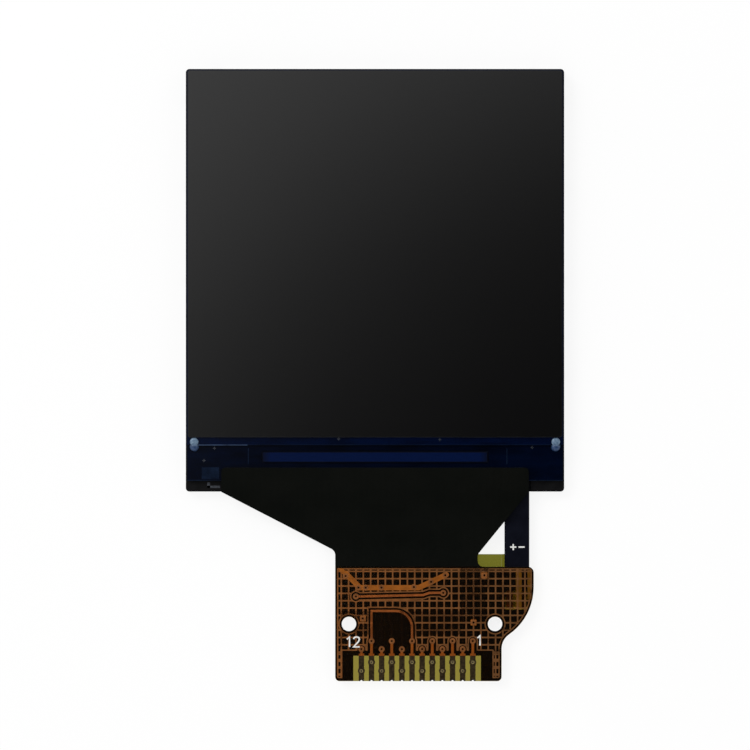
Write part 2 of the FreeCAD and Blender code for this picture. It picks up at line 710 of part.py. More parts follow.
def back_cover_film():
    """The dark cover film on the back, open at the contacts and at the lamp pads."""
    layer = bent_layer(-COPPER - COVER_FILM, -COPPER, ARRAY_FOOT, below(TAIL_DROP))
    margin = PAD_WINDOW_MARGIN
    left = pad_x(1) - PAD_WIDTH / 2 - margin
    right = pad_x(0) + PAD_WIDTH / 2 + margin
    window = upright(rectangle(left, right, wing_pad_foot() - margin, wing_pad_top() + margin))
    return layer.common(upright(tail_face())).cut(locating_holes() + [contact_window(), window])


def link_track():
    """The ring-ended conductor under the power track."""
    line = from_end(LINK_TRACK)
    ends = [ring_land(*line[0]), ring_land(*line[-1])]
    run = plate(track_face(dropped(line), LINK_WIDTH), Z_FRONT_COPPER, Z_FRONT_COVER)
    return fused([run] + ends).cut([front_bore(*line[0]), front_bore(*line[-1])])


def ring_land(x, drop, extra=0):
    """The round land of a via on the front."""
    return bead(x, below(drop), VIA_LAND + extra, Z_FRONT_COPPER, Z_FRONT_COVER)


def front_bore(x, drop):
    """The bore of a via through the front copper."""
    return bead(x, below(drop), VIA_BORE, Z_FRONT_COPPER, Z_FRONT_COVER)


def loop_corners(grow):
    """The outline round the loop's inner space, grown outwards by a distance."""
    left = contact_x(LOOP_FIRST_CONTACT) - grow
    right = contact_x(LOOP_LAST_CONTACT) + grow
    top = below(LOOP_TOP_DROP) + grow
    foot = below(UPPER_RING_DROP)
    return [(left, foot, 0), (right, foot, 0), (right, top, LOOP_SHOULDER + grow), (left, top, 0)]


def loop_track():
    """The conductor that joins two contacts over a copper-free space."""
    outer = plate(rounded_face(loop_corners(LOOP_WIDTH / 2)), Z_FRONT_COPPER, Z_FRONT_COVER)
    inner = plate(rounded_face(loop_corners(-LOOP_WIDTH / 2)), Z_FRONT_COPPER, Z_FRONT_COVER)
    ends = [ring_land(contact_x(i), UPPER_RING_DROP) for i in (LOOP_FIRST_CONTACT, LOOP_LAST_CONTACT)]
    return outer.cut([inner] + ends)


def ground_outline():
    """The outer shape of the front ground plane, with its two narrow guards at the contacts."""
    plane = plate(tail_face(), Z_FRONT_COPPER, Z_FRONT_COVER)
    rim = plate(tail_face().makeOffset2D(-COPPER_EDGE_GAP), Z_FRONT_COPPER, Z_FRONT_COVER)
    above = slab(-RIGHT, RIGHT, below(BLACK_FILM_DROP), TOP, 0, FAR)
    guard_left = TAIL_LEFT + COPPER_EDGE_GAP + GUARD_WIDTH
    contact_space = slab(guard_left, GUARD_RIGHT_LEFT, below(TAIL_DROP), below(GROUND_END_DROP), 0, FAR)
    guard_end = slab(-RIGHT, RIGHT, below(TAIL_DROP), below(GUARD_END_DROP), 0, FAR)
    return plane.common(rim).cut([above, contact_space, guard_end])


def clearances():
    """What the ground plane stays clear of, grown by its clearance."""
    low, high = Z_FRONT_COPPER, Z_FRONT_COVER
    space = plate(rounded_face(loop_corners(LOOP_WIDTH / 2 + CLEARANCE)), low, high)
    line = from_end(LINK_TRACK)
    link = plate(track_face(dropped(line), LINK_WIDTH + 2 * CLEARANCE), low, high)
    keep_out = [space, link, ring_land(*line[0], CLEARANCE), ring_land(*line[-1], CLEARANCE)]
    for i in range(CONTACTS):
        reach = NECK_TRACK / 2 + CLEARANCE
        keep_out.append(ring_land(contact_x(i), ring_drop(i), CLEARANCE))
        keep_out.append(slab(contact_x(i) - reach, contact_x(i) + reach, below(GROUND_END_DROP),
                             below(ring_drop(i)), low, high))
    return keep_out + locating_holes(HOLE_CLEARANCE)


def mesh_square(x, y, side):
    """A flat square at mid height of the front copper."""
    corner = V(x - side / 2, y - side / 2, (Z_FRONT_COPPER + Z_FRONT_COVER) / 2)
    return Part.makePlane(side, side, corner)


def mesh_cells():
    """A flat square on every cell of the mesh that the tail's outline can reach."""
    first_column = math.ceil((TAIL_LEFT - MESH_PHASE_X) / MESH_PITCH)
    last_column = math.floor((WING_RIGHT - MESH_PHASE_X) / MESH_PITCH)
    first_row = math.ceil((WING_DROP - MESH_PHASE_DROP) / MESH_PITCH)
    last_row = math.floor((GROUND_END_DROP - MESH_PHASE_DROP) / MESH_PITCH)
    return [mesh_square(MESH_PHASE_X + (column + 0.5) * MESH_PITCH,
                        below(MESH_PHASE_DROP + (row + 0.5) * MESH_PITCH), MESH_PITCH)
            for row in range(first_row, last_row) for column in range(first_column, last_column)]


def whole_squares(faces, side):
    """The centres of those flat faces that are still a whole square of a side."""
    return [face.CenterOfMass for face in faces if face.Area > WHOLE_CELL * side ** 2]


def mesh_gaps(plane, wide_copper):
    """The square gaps whose cells lie wholly in the plane and that stay off its wide copper."""
    side = MESH_PITCH - MESH_LINE
    cells = Part.makeCompound(mesh_cells()).common(plane).Faces
    gaps = [mesh_square(c.x, c.y, side) for c in whole_squares(cells, MESH_PITCH)]
    clear = whole_squares(Part.makeCompound(gaps).cut(wide_copper).Faces, side)
    return [slab(c.x - side / 2, c.x + side / 2, c.y - side / 2, c.y + side / 2, Z_FRONT_COPPER,
                 Z_FRONT_COVER) for c in clear]


def guard_gaps():
    """The ladder gaps in the two narrow guards."""
    gaps = []
    lefts = (TAIL_LEFT + COPPER_EDGE_GAP, GUARD_RIGHT_LEFT)
    rows = int((GUARD_END_DROP - GROUND_END_DROP) / (RUNG_DEPTH + RUNG_WIDTH))
    for left in lefts:
        for row in range(rows):
            top = below(GROUND_END_DROP + row * (RUNG_DEPTH + RUNG_WIDTH))
            gaps.append(slab(left + MESH_LINE, left + GUARD_WIDTH - MESH_LINE, top - RUNG_DEPTH, top,
                             Z_FRONT_COPPER, Z_FRONT_COVER))
    return gaps


def front_ground_mesh():
    """The meshed ground plane, solid along its power track and round its vias."""
    plane = ground_outline().cut(clearances())
    line = dropped(from_end(POWER_TRACK))
    power = plate(track_face(line, POWER_WIDTH), Z_FRONT_COPPER, Z_FRONT_COVER)
    vias = from_end(POWER_VIAS + LOOSE_VIAS)
    wide = [power] + [ring_land(x, drop) for x, drop in vias]
    plane = max(plane.Solids, key=lambda solid: solid.Volume)
    return plane.cut(mesh_gaps(plane, wide) + guard_gaps() + [front_bore(x, drop) for x, drop in vias])


def back_track(upper_x, turn_rise, index):
    """A conductor on the back, from the bonded edge to its contact."""
    x = contact_x(index)
    turn_drop = TAIL_DROP - turn_rise
    turn_end = turn_drop + abs(x - upper_x)
    points = [(upper_x, -GLASS_FOOT_GAP), (upper_x, turn_drop), (x, turn_end), (x, CONTACT_TOP_DROP)]
    return track_face(dropped(points), BACK_TRACK)


def lamp_track(contact, pad, pad_drop, level_rise):
    """A conductor from a lamp pad, level across the wing and down to its contact."""
    x = contact_x(contact)
    start = pad_x(pad)
    level = TAIL_DROP - level_rise
    points = [(start, level + pad_drop), (start, level), (x + LAMP_TURN, level), (x, level + LAMP_TURN),
              (x, CONTACT_TOP_DROP)]
    return track_face(dropped(points), BACK_TRACK)


def back_tracks():
    """The conductors on the back of the tail, each a solid of its own."""
    layer = bent_layer(-COPPER, 0, ARRAY_FOOT, below(TAIL_DROP))
    faces = [back_track(*values) for values in BACK_TRACKS]
    faces += [lamp_track(*values) for values in LAMP_TRACKS]
    return group([layer.common(upright(face)).cut(wing_pads()) for face in faces])


def pad_x(index):
    """The X of a lamp pad: the outer one first."""
    return LEG_RIGHT - PAD_INSET - PAD_WIDTH / 2 - index * PAD_PITCH


def strip_pads():
    """The two pads at the end of the lamp strip, on its back."""
    return [slab(pad_x(i) - PAD_WIDTH / 2, pad_x(i) + PAD_WIDTH / 2, below(LEG_END_DROP),
                 below(LEG_END_DROP - STRIP_PAD_LENGTH), Z_STRIP_PAD, Z_STRIP) for i in (0, 1)]


def wing_pad_top():
    """The Y of the top of the wing's pads, just past the end of the strip."""
    return below(LEG_END_DROP + WING_PAD_GAP)


def wing_pad_foot():
    """The Y of the foot of the wing's pads."""
    return wing_pad_top() - WING_PAD_LENGTH


def wing_pads():
    """The two pads on the back of the wing."""
    return [slab(pad_x(i) - PAD_WIDTH / 2, pad_x(i) + PAD_WIDTH / 2, wing_pad_foot(), wing_pad_top(),
                 Z_BACK_COPPER, Z_BASE) for i in (0, 1)]


def solder_joint(x):
    """Solder that lies on the strip's pad and flows down its end onto the wing's pad."""
    top = below(LEG_END_DROP - STRIP_PAD_LENGTH) - SOLDER_MARGIN
    step = wing_pad_top() - SOLDER_MARGIN
    foot = wing_pad_foot() + SOLDER_MARGIN
    section = rounded_face([(top, Z_STRIP_PAD, 0), (top, Z_SOLDER, SOLDER_ROUND),
                            (step - SOLDER_FOOT, Z_SOLDER, SOLDER_ROUND),
                            (foot, Z_BACK_COPPER - SOLDER, 0), (foot, Z_BACK_COPPER, 0),
                            (below(LEG_END_DROP), Z_BACK_COPPER, 0), (below(LEG_END_DROP), Z_STRIP_PAD, 0)])
    section.rotate(V(), V(1, 0, 0), 90)
    section.rotate(V(), V(0, 0, 1), 90)
    width = PAD_WIDTH - 2 * SOLDER_MARGIN
    section.translate(V(x - width / 2, 0, 0))
    return section.extrude(V(width, 0, 0))


def insulating_tape():
    """The tape over the lamp pads: on the tail at its left, stepping down over the strip."""
    ramp_end = LEG_LEFT - TAPE_LEG_GAP
    ramp_start = ramp_end - TAPE_RAMP
    upper = [(TAPE_LEFT, Z_TAIL_BACK), (ramp_start, Z_TAIL_BACK), (ramp_end, Z_SOLDER),
             (TAPE_RIGHT, Z_SOLDER)]
    lower = [(x, z - TAPE) for x, z in upper[::-1]]
    section = rounded_face([(x, z, 0) for x, z in lower + upper])
    section.rotate(V(), V(1, 0, 0), 90)
    section.translate(V(0, below(TAPE_FOOT_DROP), 0))
    return section.extrude(V(0, TAPE_FOOT_DROP - TAPE_TOP_DROP, 0))


def bond_film():
    """The conductive film between the tail and the ledge."""
    return slab(BOND_MARGIN - BOND_HALF_WIDTH, BOND_HALF_WIDTH - BOND_MARGIN, ARRAY_FOOT,
                FOOT + BOND_REACH - BOND_MARGIN, Z_LEDGE, Z_BASE_ON_LEDGE)


steel = steel_back_cover()
array_glass = glass(ARRAY_FOOT, Z_ARRAY, Z_LEDGE)
filter_glass = glass(FILTER_FOOT, Z_LEDGE, Z_FILTER_TOP)
nodes = {
    "steel_back_cover": steel,
    "moulded_frame": moulded_frame(steel),
    "reflector_sheet": sheet(LED_BACK, SHEET_INSET, STEEL, Z_GUIDE),
    "light_guide_plate": plate(guide_face(0), Z_GUIDE, Z_GUIDE_TOP),
    "diffuser_sheet": sheet(SHEET_FOOT, SHEET_INSET, Z_GUIDE_TOP, Z_LOWER_PRISM),
    "lower_prism_sheet": sheet(SHEET_FOOT, SHEET_INSET, Z_LOWER_PRISM, Z_UPPER_PRISM),
    "upper_prism_sheet": sheet(SHEET_FOOT, SHEET_INSET, Z_UPPER_PRISM, Z_FRAME_TOP),
    "rim_tape": rim_tape(),
    "lamp_strip": lamp_strip(),
    "lamp_strip_tape": strip_tape(),
    "lamp_strip_pads": group(strip_pads()),
    "rear_polarizer": rear_polarizer(),
    "array_glass": array_glass,
    "colour_filter_glass": filter_glass,
    "top_polarizer": top_polarizer(),
    "driver_chip": driver_chip(),
    "chip_bonding_film": chip_bond(),
    "ground_paste_dots": group([paste_dot(x, [array_glass, filter_glass]) for x in (-PASTE_X, PASTE_X)]),
    "tail_bonding_film": bond_film(),
    "tail_base_film": flex_base_film(),
    "tail_black_film": black_front_film(),
    "tail_amber_film": amber_front_film(),
    "tail_back_film": back_cover_film(),
    "tail_ground_mesh": front_ground_mesh(),
    "tail_link_track": link_track(),
    "tail_loop_track": loop_track(),
    "tail_back_tracks": back_tracks(),
    "contact_fingers": group([contact_finger(i) for i in range(CONTACTS)]),
    "wing_lamp_pads": group(wing_pads()),
    "lamp_solder_joints": group([solder_joint(pad_x(i)) for i in (0, 1)]),
    "insulating_tape": insulating_tape(),
}
for number, x in enumerate(centred(LED_COUNT, LED_PITCH), 1):
    nodes[f"lamp_{number}_housing"] = led_body(x)
    nodes[f"lamp_{number}_phosphor"] = led_window(x)
for name, shape in nodes.items():
    shape.exportStep(f"parts/{name}.step")
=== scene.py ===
import json
import math

import bmesh
import bpy
import numpy as np
from mathutils import Matrix, Vector


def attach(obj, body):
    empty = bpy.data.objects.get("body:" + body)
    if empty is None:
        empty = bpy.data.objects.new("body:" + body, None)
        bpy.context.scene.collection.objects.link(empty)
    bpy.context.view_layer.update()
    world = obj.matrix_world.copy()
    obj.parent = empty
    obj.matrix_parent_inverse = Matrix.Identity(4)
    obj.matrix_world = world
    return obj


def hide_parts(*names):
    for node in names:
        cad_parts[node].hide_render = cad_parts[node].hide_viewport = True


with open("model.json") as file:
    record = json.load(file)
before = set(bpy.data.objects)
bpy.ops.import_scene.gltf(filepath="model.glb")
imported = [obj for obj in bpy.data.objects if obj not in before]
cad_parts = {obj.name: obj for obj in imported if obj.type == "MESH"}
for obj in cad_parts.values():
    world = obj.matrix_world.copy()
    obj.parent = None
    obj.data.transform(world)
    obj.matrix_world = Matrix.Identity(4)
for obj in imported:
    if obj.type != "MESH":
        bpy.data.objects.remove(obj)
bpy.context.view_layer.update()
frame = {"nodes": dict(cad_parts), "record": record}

# Shapes are written in millimetres, in the frame's own X, Y and Z. A drop is a distance below the
# foot of the module, where the tail leaves it.
MM = 0.001
FOOT = -14.61

# Levels of the layers
Z_LEDGE = 1.16
Z_FILTER_TOP = 1.36
Z_BASE_ON_LEDGE = 1.18
Z_BASE = 0.745
Z_BACK_FILM = 0.705
Z_BACK_COPPER = 0.730
Z_COPPER_TOP = 0.800
Z_AMBER_TOP = 0.825
Z_STRIP_TOP = 0.705
Z_TAPE_BACK = 0.505
Z_CORNER_MARK = 0.75

# The tail's bend, between the ledge and its flat part
BEND_FIRST = FOOT + 0.25
BEND_LAST = FOOT - 4.0

# The contact row
CONTACTS = 12
CONTACT_PITCH = 0.7
CONTACT_MIDDLE = 2.91
CONTACT_X = [CONTACT_MIDDLE + (i - (CONTACTS - 1) / 2) * CONTACT_PITCH for i in range(CONTACTS)]
UPPER_VIA, LOWER_VIA = 11.8, 12.4
UPPER_RING, LOWER_RING = 10.33, 10.89
AMBER_FILM_DROP = 11.35

# The tail's outline and locating holes
TAIL_DROP = 13.1
TAIL_LEFT, TAIL_RIGHT = -2.75, 8.75
WING_RIGHT, WING_RADIUS, WING_TURN, WING_FOOT_RADIUS = 10.97, 4.0, 6.6, 1.2
BLACK_FILM_DROP = 5.17
HOLES = [(-1.8, 9.15), (8.3, 9.15)]

# The etched front copper: its mesh, and its tracks and vias as points of x and drop
MESH_PITCH, MESH_PHASE_X, MESH_PHASE_DROP = 0.508, -1.317, 6.02
LINK_TRACK = [(-1.32, 7.25), (3.33, 7.15), (3.75, 7.0), (4.72, 7.0)]
POWER_TRACK = [(-2.03, 5.64), (-1.04, 6.64), (3.03, 6.64), (4.92, 5.74)]
POWER_VIAS = [(-2.03, 5.84), (-1.14, 6.64), (-0.64, 6.64), (0.45, 6.64), (2.69, 6.6), (3.88, 6.24),
              (4.86, 5.78)]
LOOSE_VIAS = [(-0.84, 8.77), (6.81, 9.05), (7.56, 5.79)]
VIA_MOUTH = 0.08
EDGE_CLEARANCE = 0.13
GROUND_END, GUARD_END = 11.0, 12.9

# How deep a mark reaches into its surface, and how far it stands out of it
INLAY, PROUD = 0.02, 0.002


def below(drop):
    """The Y of a drop."""
    return FOOT - drop


def staggered(upper, lower):
    """Spots at the contacts, by turns on the lower and the upper of two drops."""
    return [(x, upper if i % 2 else lower) for i, x in enumerate(CONTACT_X)]


# Shader helpers

def add(tree, kind, inputs=None, **settings):
    """A shader node whose inputs are set to values or linked to sockets."""
    node = tree.nodes.new("ShaderNode" + kind)
    for name, value in settings.items():
        setattr(node, name, value)
    for key, value in (inputs or {}).items():
        if isinstance(value, bpy.types.NodeSocket):
            tree.links.new(value, node.inputs[key])
        else:
            node.inputs[key].default_value = value
    return node


def rgb(r, g, b):
    """A full colour socket's value."""
    return (r, g, b, 1.0)


def millimetres(tree, stretch=(1, 1, 1)):
    """Object coordinates in millimetres, stretched."""
    place = add(tree, "TexCoord").outputs["Object"]
    return add(tree, "Mapping", {"Vector": place, "Scale": [s / MM for s in stretch]}).outputs[0]


def noise(tree, scale, detail=4.0, rough=0.55, stretch=(1, 1, 1)):
    return add(tree, "TexNoise", {"Vector": millimetres(tree, stretch), "Scale": scale, "Detail": detail,
                                  "Roughness": rough}).outputs["Fac"]


def span(tree, value, low, high, start=0.3, end=0.7):
    """A value that goes from start to end, as one that goes from low to high."""
    return add(tree, "MapRange", {"Value": value, "From Min": start, "From Max": end, "To Min": low,
                                  "To Max": high}).outputs[0]


def blend(tree, factor, first, second):
    """The first colour where the factor is 0, the second where it is 1."""
    return add(tree, "Mix", {0: factor, 6: first, 7: second}, data_type="RGBA").outputs[2]


def maths(tree, operation, a, b=0.0):
    return add(tree, "Math", {0: a, 1: b}, operation=operation).outputs[0]


def facing_up(tree):
    """How far the surface faces up, from -1 to 1."""
    return add(tree, "SeparateXYZ", {0: add(tree, "NewGeometry").outputs["Normal"]}).outputs[2]


def coordinates(tree):
    """The coordinates of a point in millimetres, as three outputs."""
    return add(tree, "SeparateXYZ", {0: millimetres(tree)}).outputs


def mottle(tree, scale, grain):
    """Two sizes of noise in one."""
    broad = maths(tree, "MULTIPLY", noise(tree, scale), 0.7)
    fine = maths(tree, "MULTIPLY", noise(tree, grain, detail=2.0), 0.3)
    return maths(tree, "ADD", broad, fine)


def rounded_edge(tree, radius, samples=6):
    """A normal that rounds the edges."""
    return add(tree, "Bevel", {"Radius": radius * MM}, samples=samples).outputs[0]


def bump(tree, height, distance, normal=None):
    """Relief of a real height in millimetres."""
    inputs = {"Height": height, "Distance": distance * MM, "Strength": 1.0}
    if normal is not None:
        inputs["Normal"] = normal
    return add(tree, "Bump", inputs).outputs[0]


def material(name):
    made = bpy.data.materials.new(name)
    made.use_nodes = True
    made.node_tree.nodes.clear()
    return made, made.node_tree


def finish_material(made, tree, shader):
    out = add(tree, "OutputMaterial")
    tree.links.new(shader, out.inputs["Surface"])
    return made


def principled(tree, **inputs):
    return add(tree, "BsdfPrincipled", {key.replace("_", " "): value for key, value in inputs.items()})


def surface(name, dark, light, scale, rough=(0.4, 0.5), metallic=0.0, relief=0.001, grain=None,
            gloss=0.5):
    """A finish whose colour, roughness and relief vary with two sizes of noise."""
    made, tree = material(name)
    both = mottle(tree, scale, grain or scale * 6)
    colour = blend(tree, span(tree, both, 0.0, 1.0, 0.35, 0.65), rgb(*dark), rgb(*light))
    shader = principled(tree, Base_Color=colour, Metallic=metallic,
                        Roughness=span(tree, both, rough[0], rough[1]), Specular_IOR_Level=gloss,
                        Normal=bump(tree, both, relief))
    return finish_material(made, tree, shader.outputs[0])


def steel():
    """Satin rolled steel: long fine streaks, a mottle and a soft grain, with painted shade that darkens
    its folded sides.
    """
    made, tree = material("tray_steel")
    streak = noise(tree, 1.0, 3.0, stretch=(0.7, 16, 16))
    cloud = noise(tree, 3.2, 5.0, 0.62)
    grain = noise(tree, 26.0, 2.0)
    tone = maths(tree, "ADD", maths(tree, "MULTIPLY", streak, 0.4), maths(tree, "MULTIPLY", cloud, 0.6))
    colour = blend(tree, span(tree, tone, 0.0, 1.0, 0.35, 0.65), rgb(0.85, 0.85, 0.84),
                   rgb(0.94, 0.94, 0.93))
    # Painted shade: the colour goes darker where the faces turn from up to the side
    side = span(tree, maths(tree, "ABSOLUTE", facing_up(tree)), 1.0, 0.0, 0.2, 0.9)
    colour = blend(tree, side, colour, rgb(0.46, 0.46, 0.46))
    height = maths(tree, "ADD", maths(tree, "MULTIPLY", streak, 0.5), maths(tree, "MULTIPLY", grain, 0.5))
    shader = principled(tree, Base_Color=colour, Metallic=1.0, Roughness=span(tree, tone, 0.15, 0.20),
                        Normal=bump(tree, height, 0.0014, rounded_edge(tree, 0.06, 8)))
    return finish_material(made, tree, shader.outputs[0])


def clear_film(name, tint, gloss_rough=0.2, body=None, body_share=0.0, gloss=0.5, painted_tint_below=None):
    """A see-through film: its front faces tint what lies behind, its back faces don't tint again."""
    made, tree = material(name)
    wave = noise(tree, 1.2, 3.0)
    normal = bump(tree, wave, 0.002)
    tone = rgb(*tint)
    if painted_tint_below:
        # Painted light and shade: the tape's tint depends on the side a ray meets, darker from above and
        # paler from below, and from below it is milkier over the solder joints
        low = span(tree, facing_up(tree), 1.0, 0.0, -0.5, 0.5)
        tone = blend(tree, low, tone, rgb(*painted_tint_below))
        x, y = coordinates(tree)[:2]
        milky = maths(tree, "MULTIPLY", span(tree, x, 0.04, 0.30, 7.0, 9.4),
                      span(tree, y, 1.0, 0.0, below(5.3), below(4.9)))
        milky = maths(tree, "ADD", milky, span(tree, noise(tree, 1.1, 3.0), 0.0, 0.07))
        body_share = maths(tree, "ADD", maths(tree, "MULTIPLY", low, milky), body_share)
    through = add(tree, "BsdfTransparent", {"Color": tone}).outputs[0]
    if body:
        solid = add(tree, "BsdfDiffuse", {"Color": rgb(*body), "Normal": normal}).outputs[0]
        through = add(tree, "MixShader", {0: body_share, 1: through, 2: solid}).outputs[0]
    shine = add(tree, "BsdfGlossy", {"Color": rgb(1, 1, 1), "Roughness": gloss_rough,
                                     "Normal": normal}).outputs[0]
    fresnel = add(tree, "Fresnel", {"IOR": 1.0 + gloss, "Normal": normal}).outputs[0]
    front = add(tree, "MixShader", {0: fresnel, 1: through, 2: shine}).outputs[0]
    plain = add(tree, "BsdfTransparent", {"Color": rgb(1, 1, 1)}).outputs[0]
    back = add(tree, "NewGeometry").outputs["Backfacing"]
    return finish_material(made, tree, add(tree, "MixShader", {0: back, 1: front, 2: plain}).outputs[0])


def glass(name, deep, bright):
    """Dark coated glass: blue from above, with fine conductor lines, and a painted highlight that makes
    its cut edges paler.
    """
    made, tree = material(name)
    lines = add(tree, "TexWave", {"Vector": millimetres(tree), "Scale": 3.4, "Distortion": 0.6,
                                  "Detail": 1.0}, bands_direction="X").outputs["Fac"]
    cloud = noise(tree, 0.35, 3.0, stretch=(1, 3, 1))
    tone = maths(tree, "MULTIPLY", span(tree, cloud, 0.2, 1.0, 0.35, 0.65),
                 span(tree, lines, 0.6, 1.0, 0, 1))
    top = blend(tree, tone, rgb(*deep), rgb(*bright))
    # Painted highlight: faces that turn away from up get a paler colour
    face = span(tree, facing_up(tree), 0.0, 1.0, 0.4, 0.9)
    colour = blend(tree, face, rgb(0.018, 0.040, 0.050), top)
    shader = principled(tree, Base_Color=colour, Roughness=0.12, IOR=1.3,
                        Normal=rounded_edge(tree, 0.02))
    return finish_material(made, tree, shader.outputs[0])


def polarizer():
    """Hard-coated polarizer: nearly black, glossy, with a faint grain."""
    made, tree = material("polarizer_film")
    grain = noise(tree, 14.0, 2.0)
    sweep = noise(tree, 0.06, 2.0)
    colour = blend(tree, span(tree, sweep, 0.0, 1.0, 0.3, 0.7), rgb(0.0011, 0.0011, 0.0012),
                   rgb(0.0018, 0.0018, 0.0019))
    shader = principled(tree, Base_Color=colour, Roughness=span(tree, grain, 0.14, 0.17), IOR=1.62,
                        Normal=bump(tree, grain, 0.00004, rounded_edge(tree, 0.025)))
    return finish_material(made, tree, shader.outputs[0])


def driver_silicon():
    """Ground silicon, blue under the studio light, darker at its ends."""
    made, tree = material("chip_silicon")
    ground = noise(tree, 2.0, 4.0, stretch=(1, 12, 12))
    ends = span(tree, maths(tree, "ABSOLUTE", coordinates(tree)[0]), 1.0, 0.25, 7.2, 7.7)
    bright = blend(tree, span(tree, ground, 0.0, 1.0), rgb(0.0006, 0.0042, 0.026),
                   rgb(0.0012, 0.0062, 0.038))
    colour = blend(tree, ends, rgb(0.002, 0.003, 0.008), bright)
    shader = principled(tree, Base_Color=colour, Roughness=0.20, IOR=1.22,
                        Normal=rounded_edge(tree, 0.02))
    return finish_material(made, tree, shader.outputs[0])


def copper(name, dark, light):
    """Etched copper with a rough, lightly mottled face."""
    return surface(name, dark, light, 2.2, (0.42, 0.6), 0.55, 0.003, 20.0)


def ground_copper():
    """Etched copper of the ground plane, greyer and duller towards the wing."""
    made, tree = material("ground_copper")
    both = mottle(tree, 2.2, 20.0)
    share = span(tree, both, 0.0, 1.0, 0.35, 0.65)
    warm = blend(tree, share, rgb(0.175, 0.083, 0.042), rgb(0.29, 0.145, 0.078))
    dull = blend(tree, share, rgb(0.105, 0.060, 0.040), rgb(0.190, 0.115, 0.082))
    across = span(tree, coordinates(tree)[0], 0.0, 1.0, TAIL_LEFT, TAIL_RIGHT)
    colour = blend(tree, across, warm, dull)
    shader = principled(tree, Base_Color=colour, Metallic=0.55, Roughness=span(tree, both, 0.42, 0.6),
                        Normal=bump(tree, both, 0.003))
    return finish_material(made, tree, shader.outputs[0])


def gold():
    """Gold plate over copper, with painted shade that makes it dull and brown on the front pads, and
    painted light that makes it bright on the back ones.
    """
    made, tree = material("gold_plating")
    cloud = noise(tree, 6.0, 4.0)
    up = facing_up(tree)
    # Painted shade and light: the same gold is dark brown facing up and bright yellow facing down
    front = blend(tree, span(tree, cloud, 0, 1), rgb(0.012, 0.0075, 0.003), rgb(0.045, 0.029, 0.011))
    covered = span(tree, coordinates(tree)[1], 0.0, 1.0, below(AMBER_FILM_DROP + 0.01),
                   below(AMBER_FILM_DROP - 0.01))
    front = blend(tree, covered, front, rgb(0.30, 0.155, 0.085))
    back = blend(tree, span(tree, cloud, 0, 1), rgb(1.0, 0.93, 0.38), rgb(1.0, 1.0, 0.60))
    colour = blend(tree, span(tree, up, 0.0, 1.0, -0.5, 0.5), back, front)
    shader = principled(tree, Base_Color=colour, Metallic=span(tree, up, 0.08, 0.3, -0.5, 0.5),
                        Roughness=span(tree, cloud, 0.28, 0.42), Specular_IOR_Level=0.2,
                        Normal=bump(tree, cloud, 0.003))
    return finish_material(made, tree, shader.outputs[0])


def black_film():
    """Black cover film with the faint relief of the conductors under it."""
    made, tree = material("black_cover_film")
    grain = noise(tree, 9.0, 3.0)
    tracks = add(tree, "TexWave", {"Vector": millimetres(tree), "Scale": 0.72, "Distortion": 1.2,
                                   "Detail": 1.0}, bands_direction="X").outputs["Fac"]
    colour = blend(tree, span(tree, noise(tree, 0.3, 3.0), 0, 1), rgb(0.0012, 0.0017, 0.0011),
                   rgb(0.0026, 0.0030, 0.0022))
    shader = principled(tree, Base_Color=colour, Roughness=span(tree, grain, 0.34, 0.44),
                        Specular_IOR_Level=0.06,
                        Normal=bump(tree, grain, 0.0008, bump(tree, tracks, 0.0012)))
    return finish_material(made, tree, shader.outputs[0])


def back_film():
    """Dark blue cover film: a faint relief of the other side's mesh, and a darker, less glossy zone at its
    top, above a curved line.
    """
    made, tree = material("back_cover_film")
    grain = noise(tree, 10.0, 3.0)
    x, y = coordinates(tree)[:2]
    grid = []
    for place, phase in ((x, MESH_PHASE_X), (y, below(MESH_PHASE_DROP))):
        cell = maths(tree, "PINGPONG", maths(tree, "SUBTRACT", place, phase), MESH_PITCH / 2)
        grid.append(span(tree, cell, 1.0, 0.0, 0.02, 0.09))
    lattice = maths(tree, "MAXIMUM", grid[0], grid[1])
    cloud = noise(tree, 0.45, 3.0)
    low = span(tree, y, 0.0, 1.0, below(4.6), below(5.6))
    patch = maths(tree, "MULTIPLY", low, span(tree, cloud, 0.0, 1.0, 0.4, 0.6))
    relief = maths(tree, "MULTIPLY", lattice, patch)
    blue = blend(tree, span(tree, cloud, 0, 1), rgb(0.0036, 0.0056, 0.0112),
                 rgb(0.0070, 0.0096, 0.0185))
    # Darker and less glossy at the top, towards the panel, above a curved line
    aside = maths(tree, "ABSOLUTE", maths(tree, "SUBTRACT", x, 2.0))
    foot = add(tree, "MapRange", {"Value": aside, "From Min": 1.6, "From Max": 5.0,
                                  "To Min": below(2.8), "To Max": below(1.5)},
               interpolation_type="SMOOTHSTEP").outputs[0]
    dark_top = span(tree, maths(tree, "SUBTRACT", y, foot), 0.0, 1.0, -0.12, 0.12)
    colour = blend(tree, dark_top, blue, rgb(0.0012, 0.0015, 0.0024))
    shader = principled(tree, Base_Color=colour, Roughness=span(tree, grain, 0.25, 0.34),
                        Specular_IOR_Level=span(tree, dark_top, 0.21, 0.03, 0.0, 1.0),
                        Specular_Tint=rgb(0.76, 0.86, 1.0),
                        Normal=bump(tree, grain, 0.0012, bump(tree, relief, 0.030)))
    return finish_material(made, tree, shader.outputs[0])


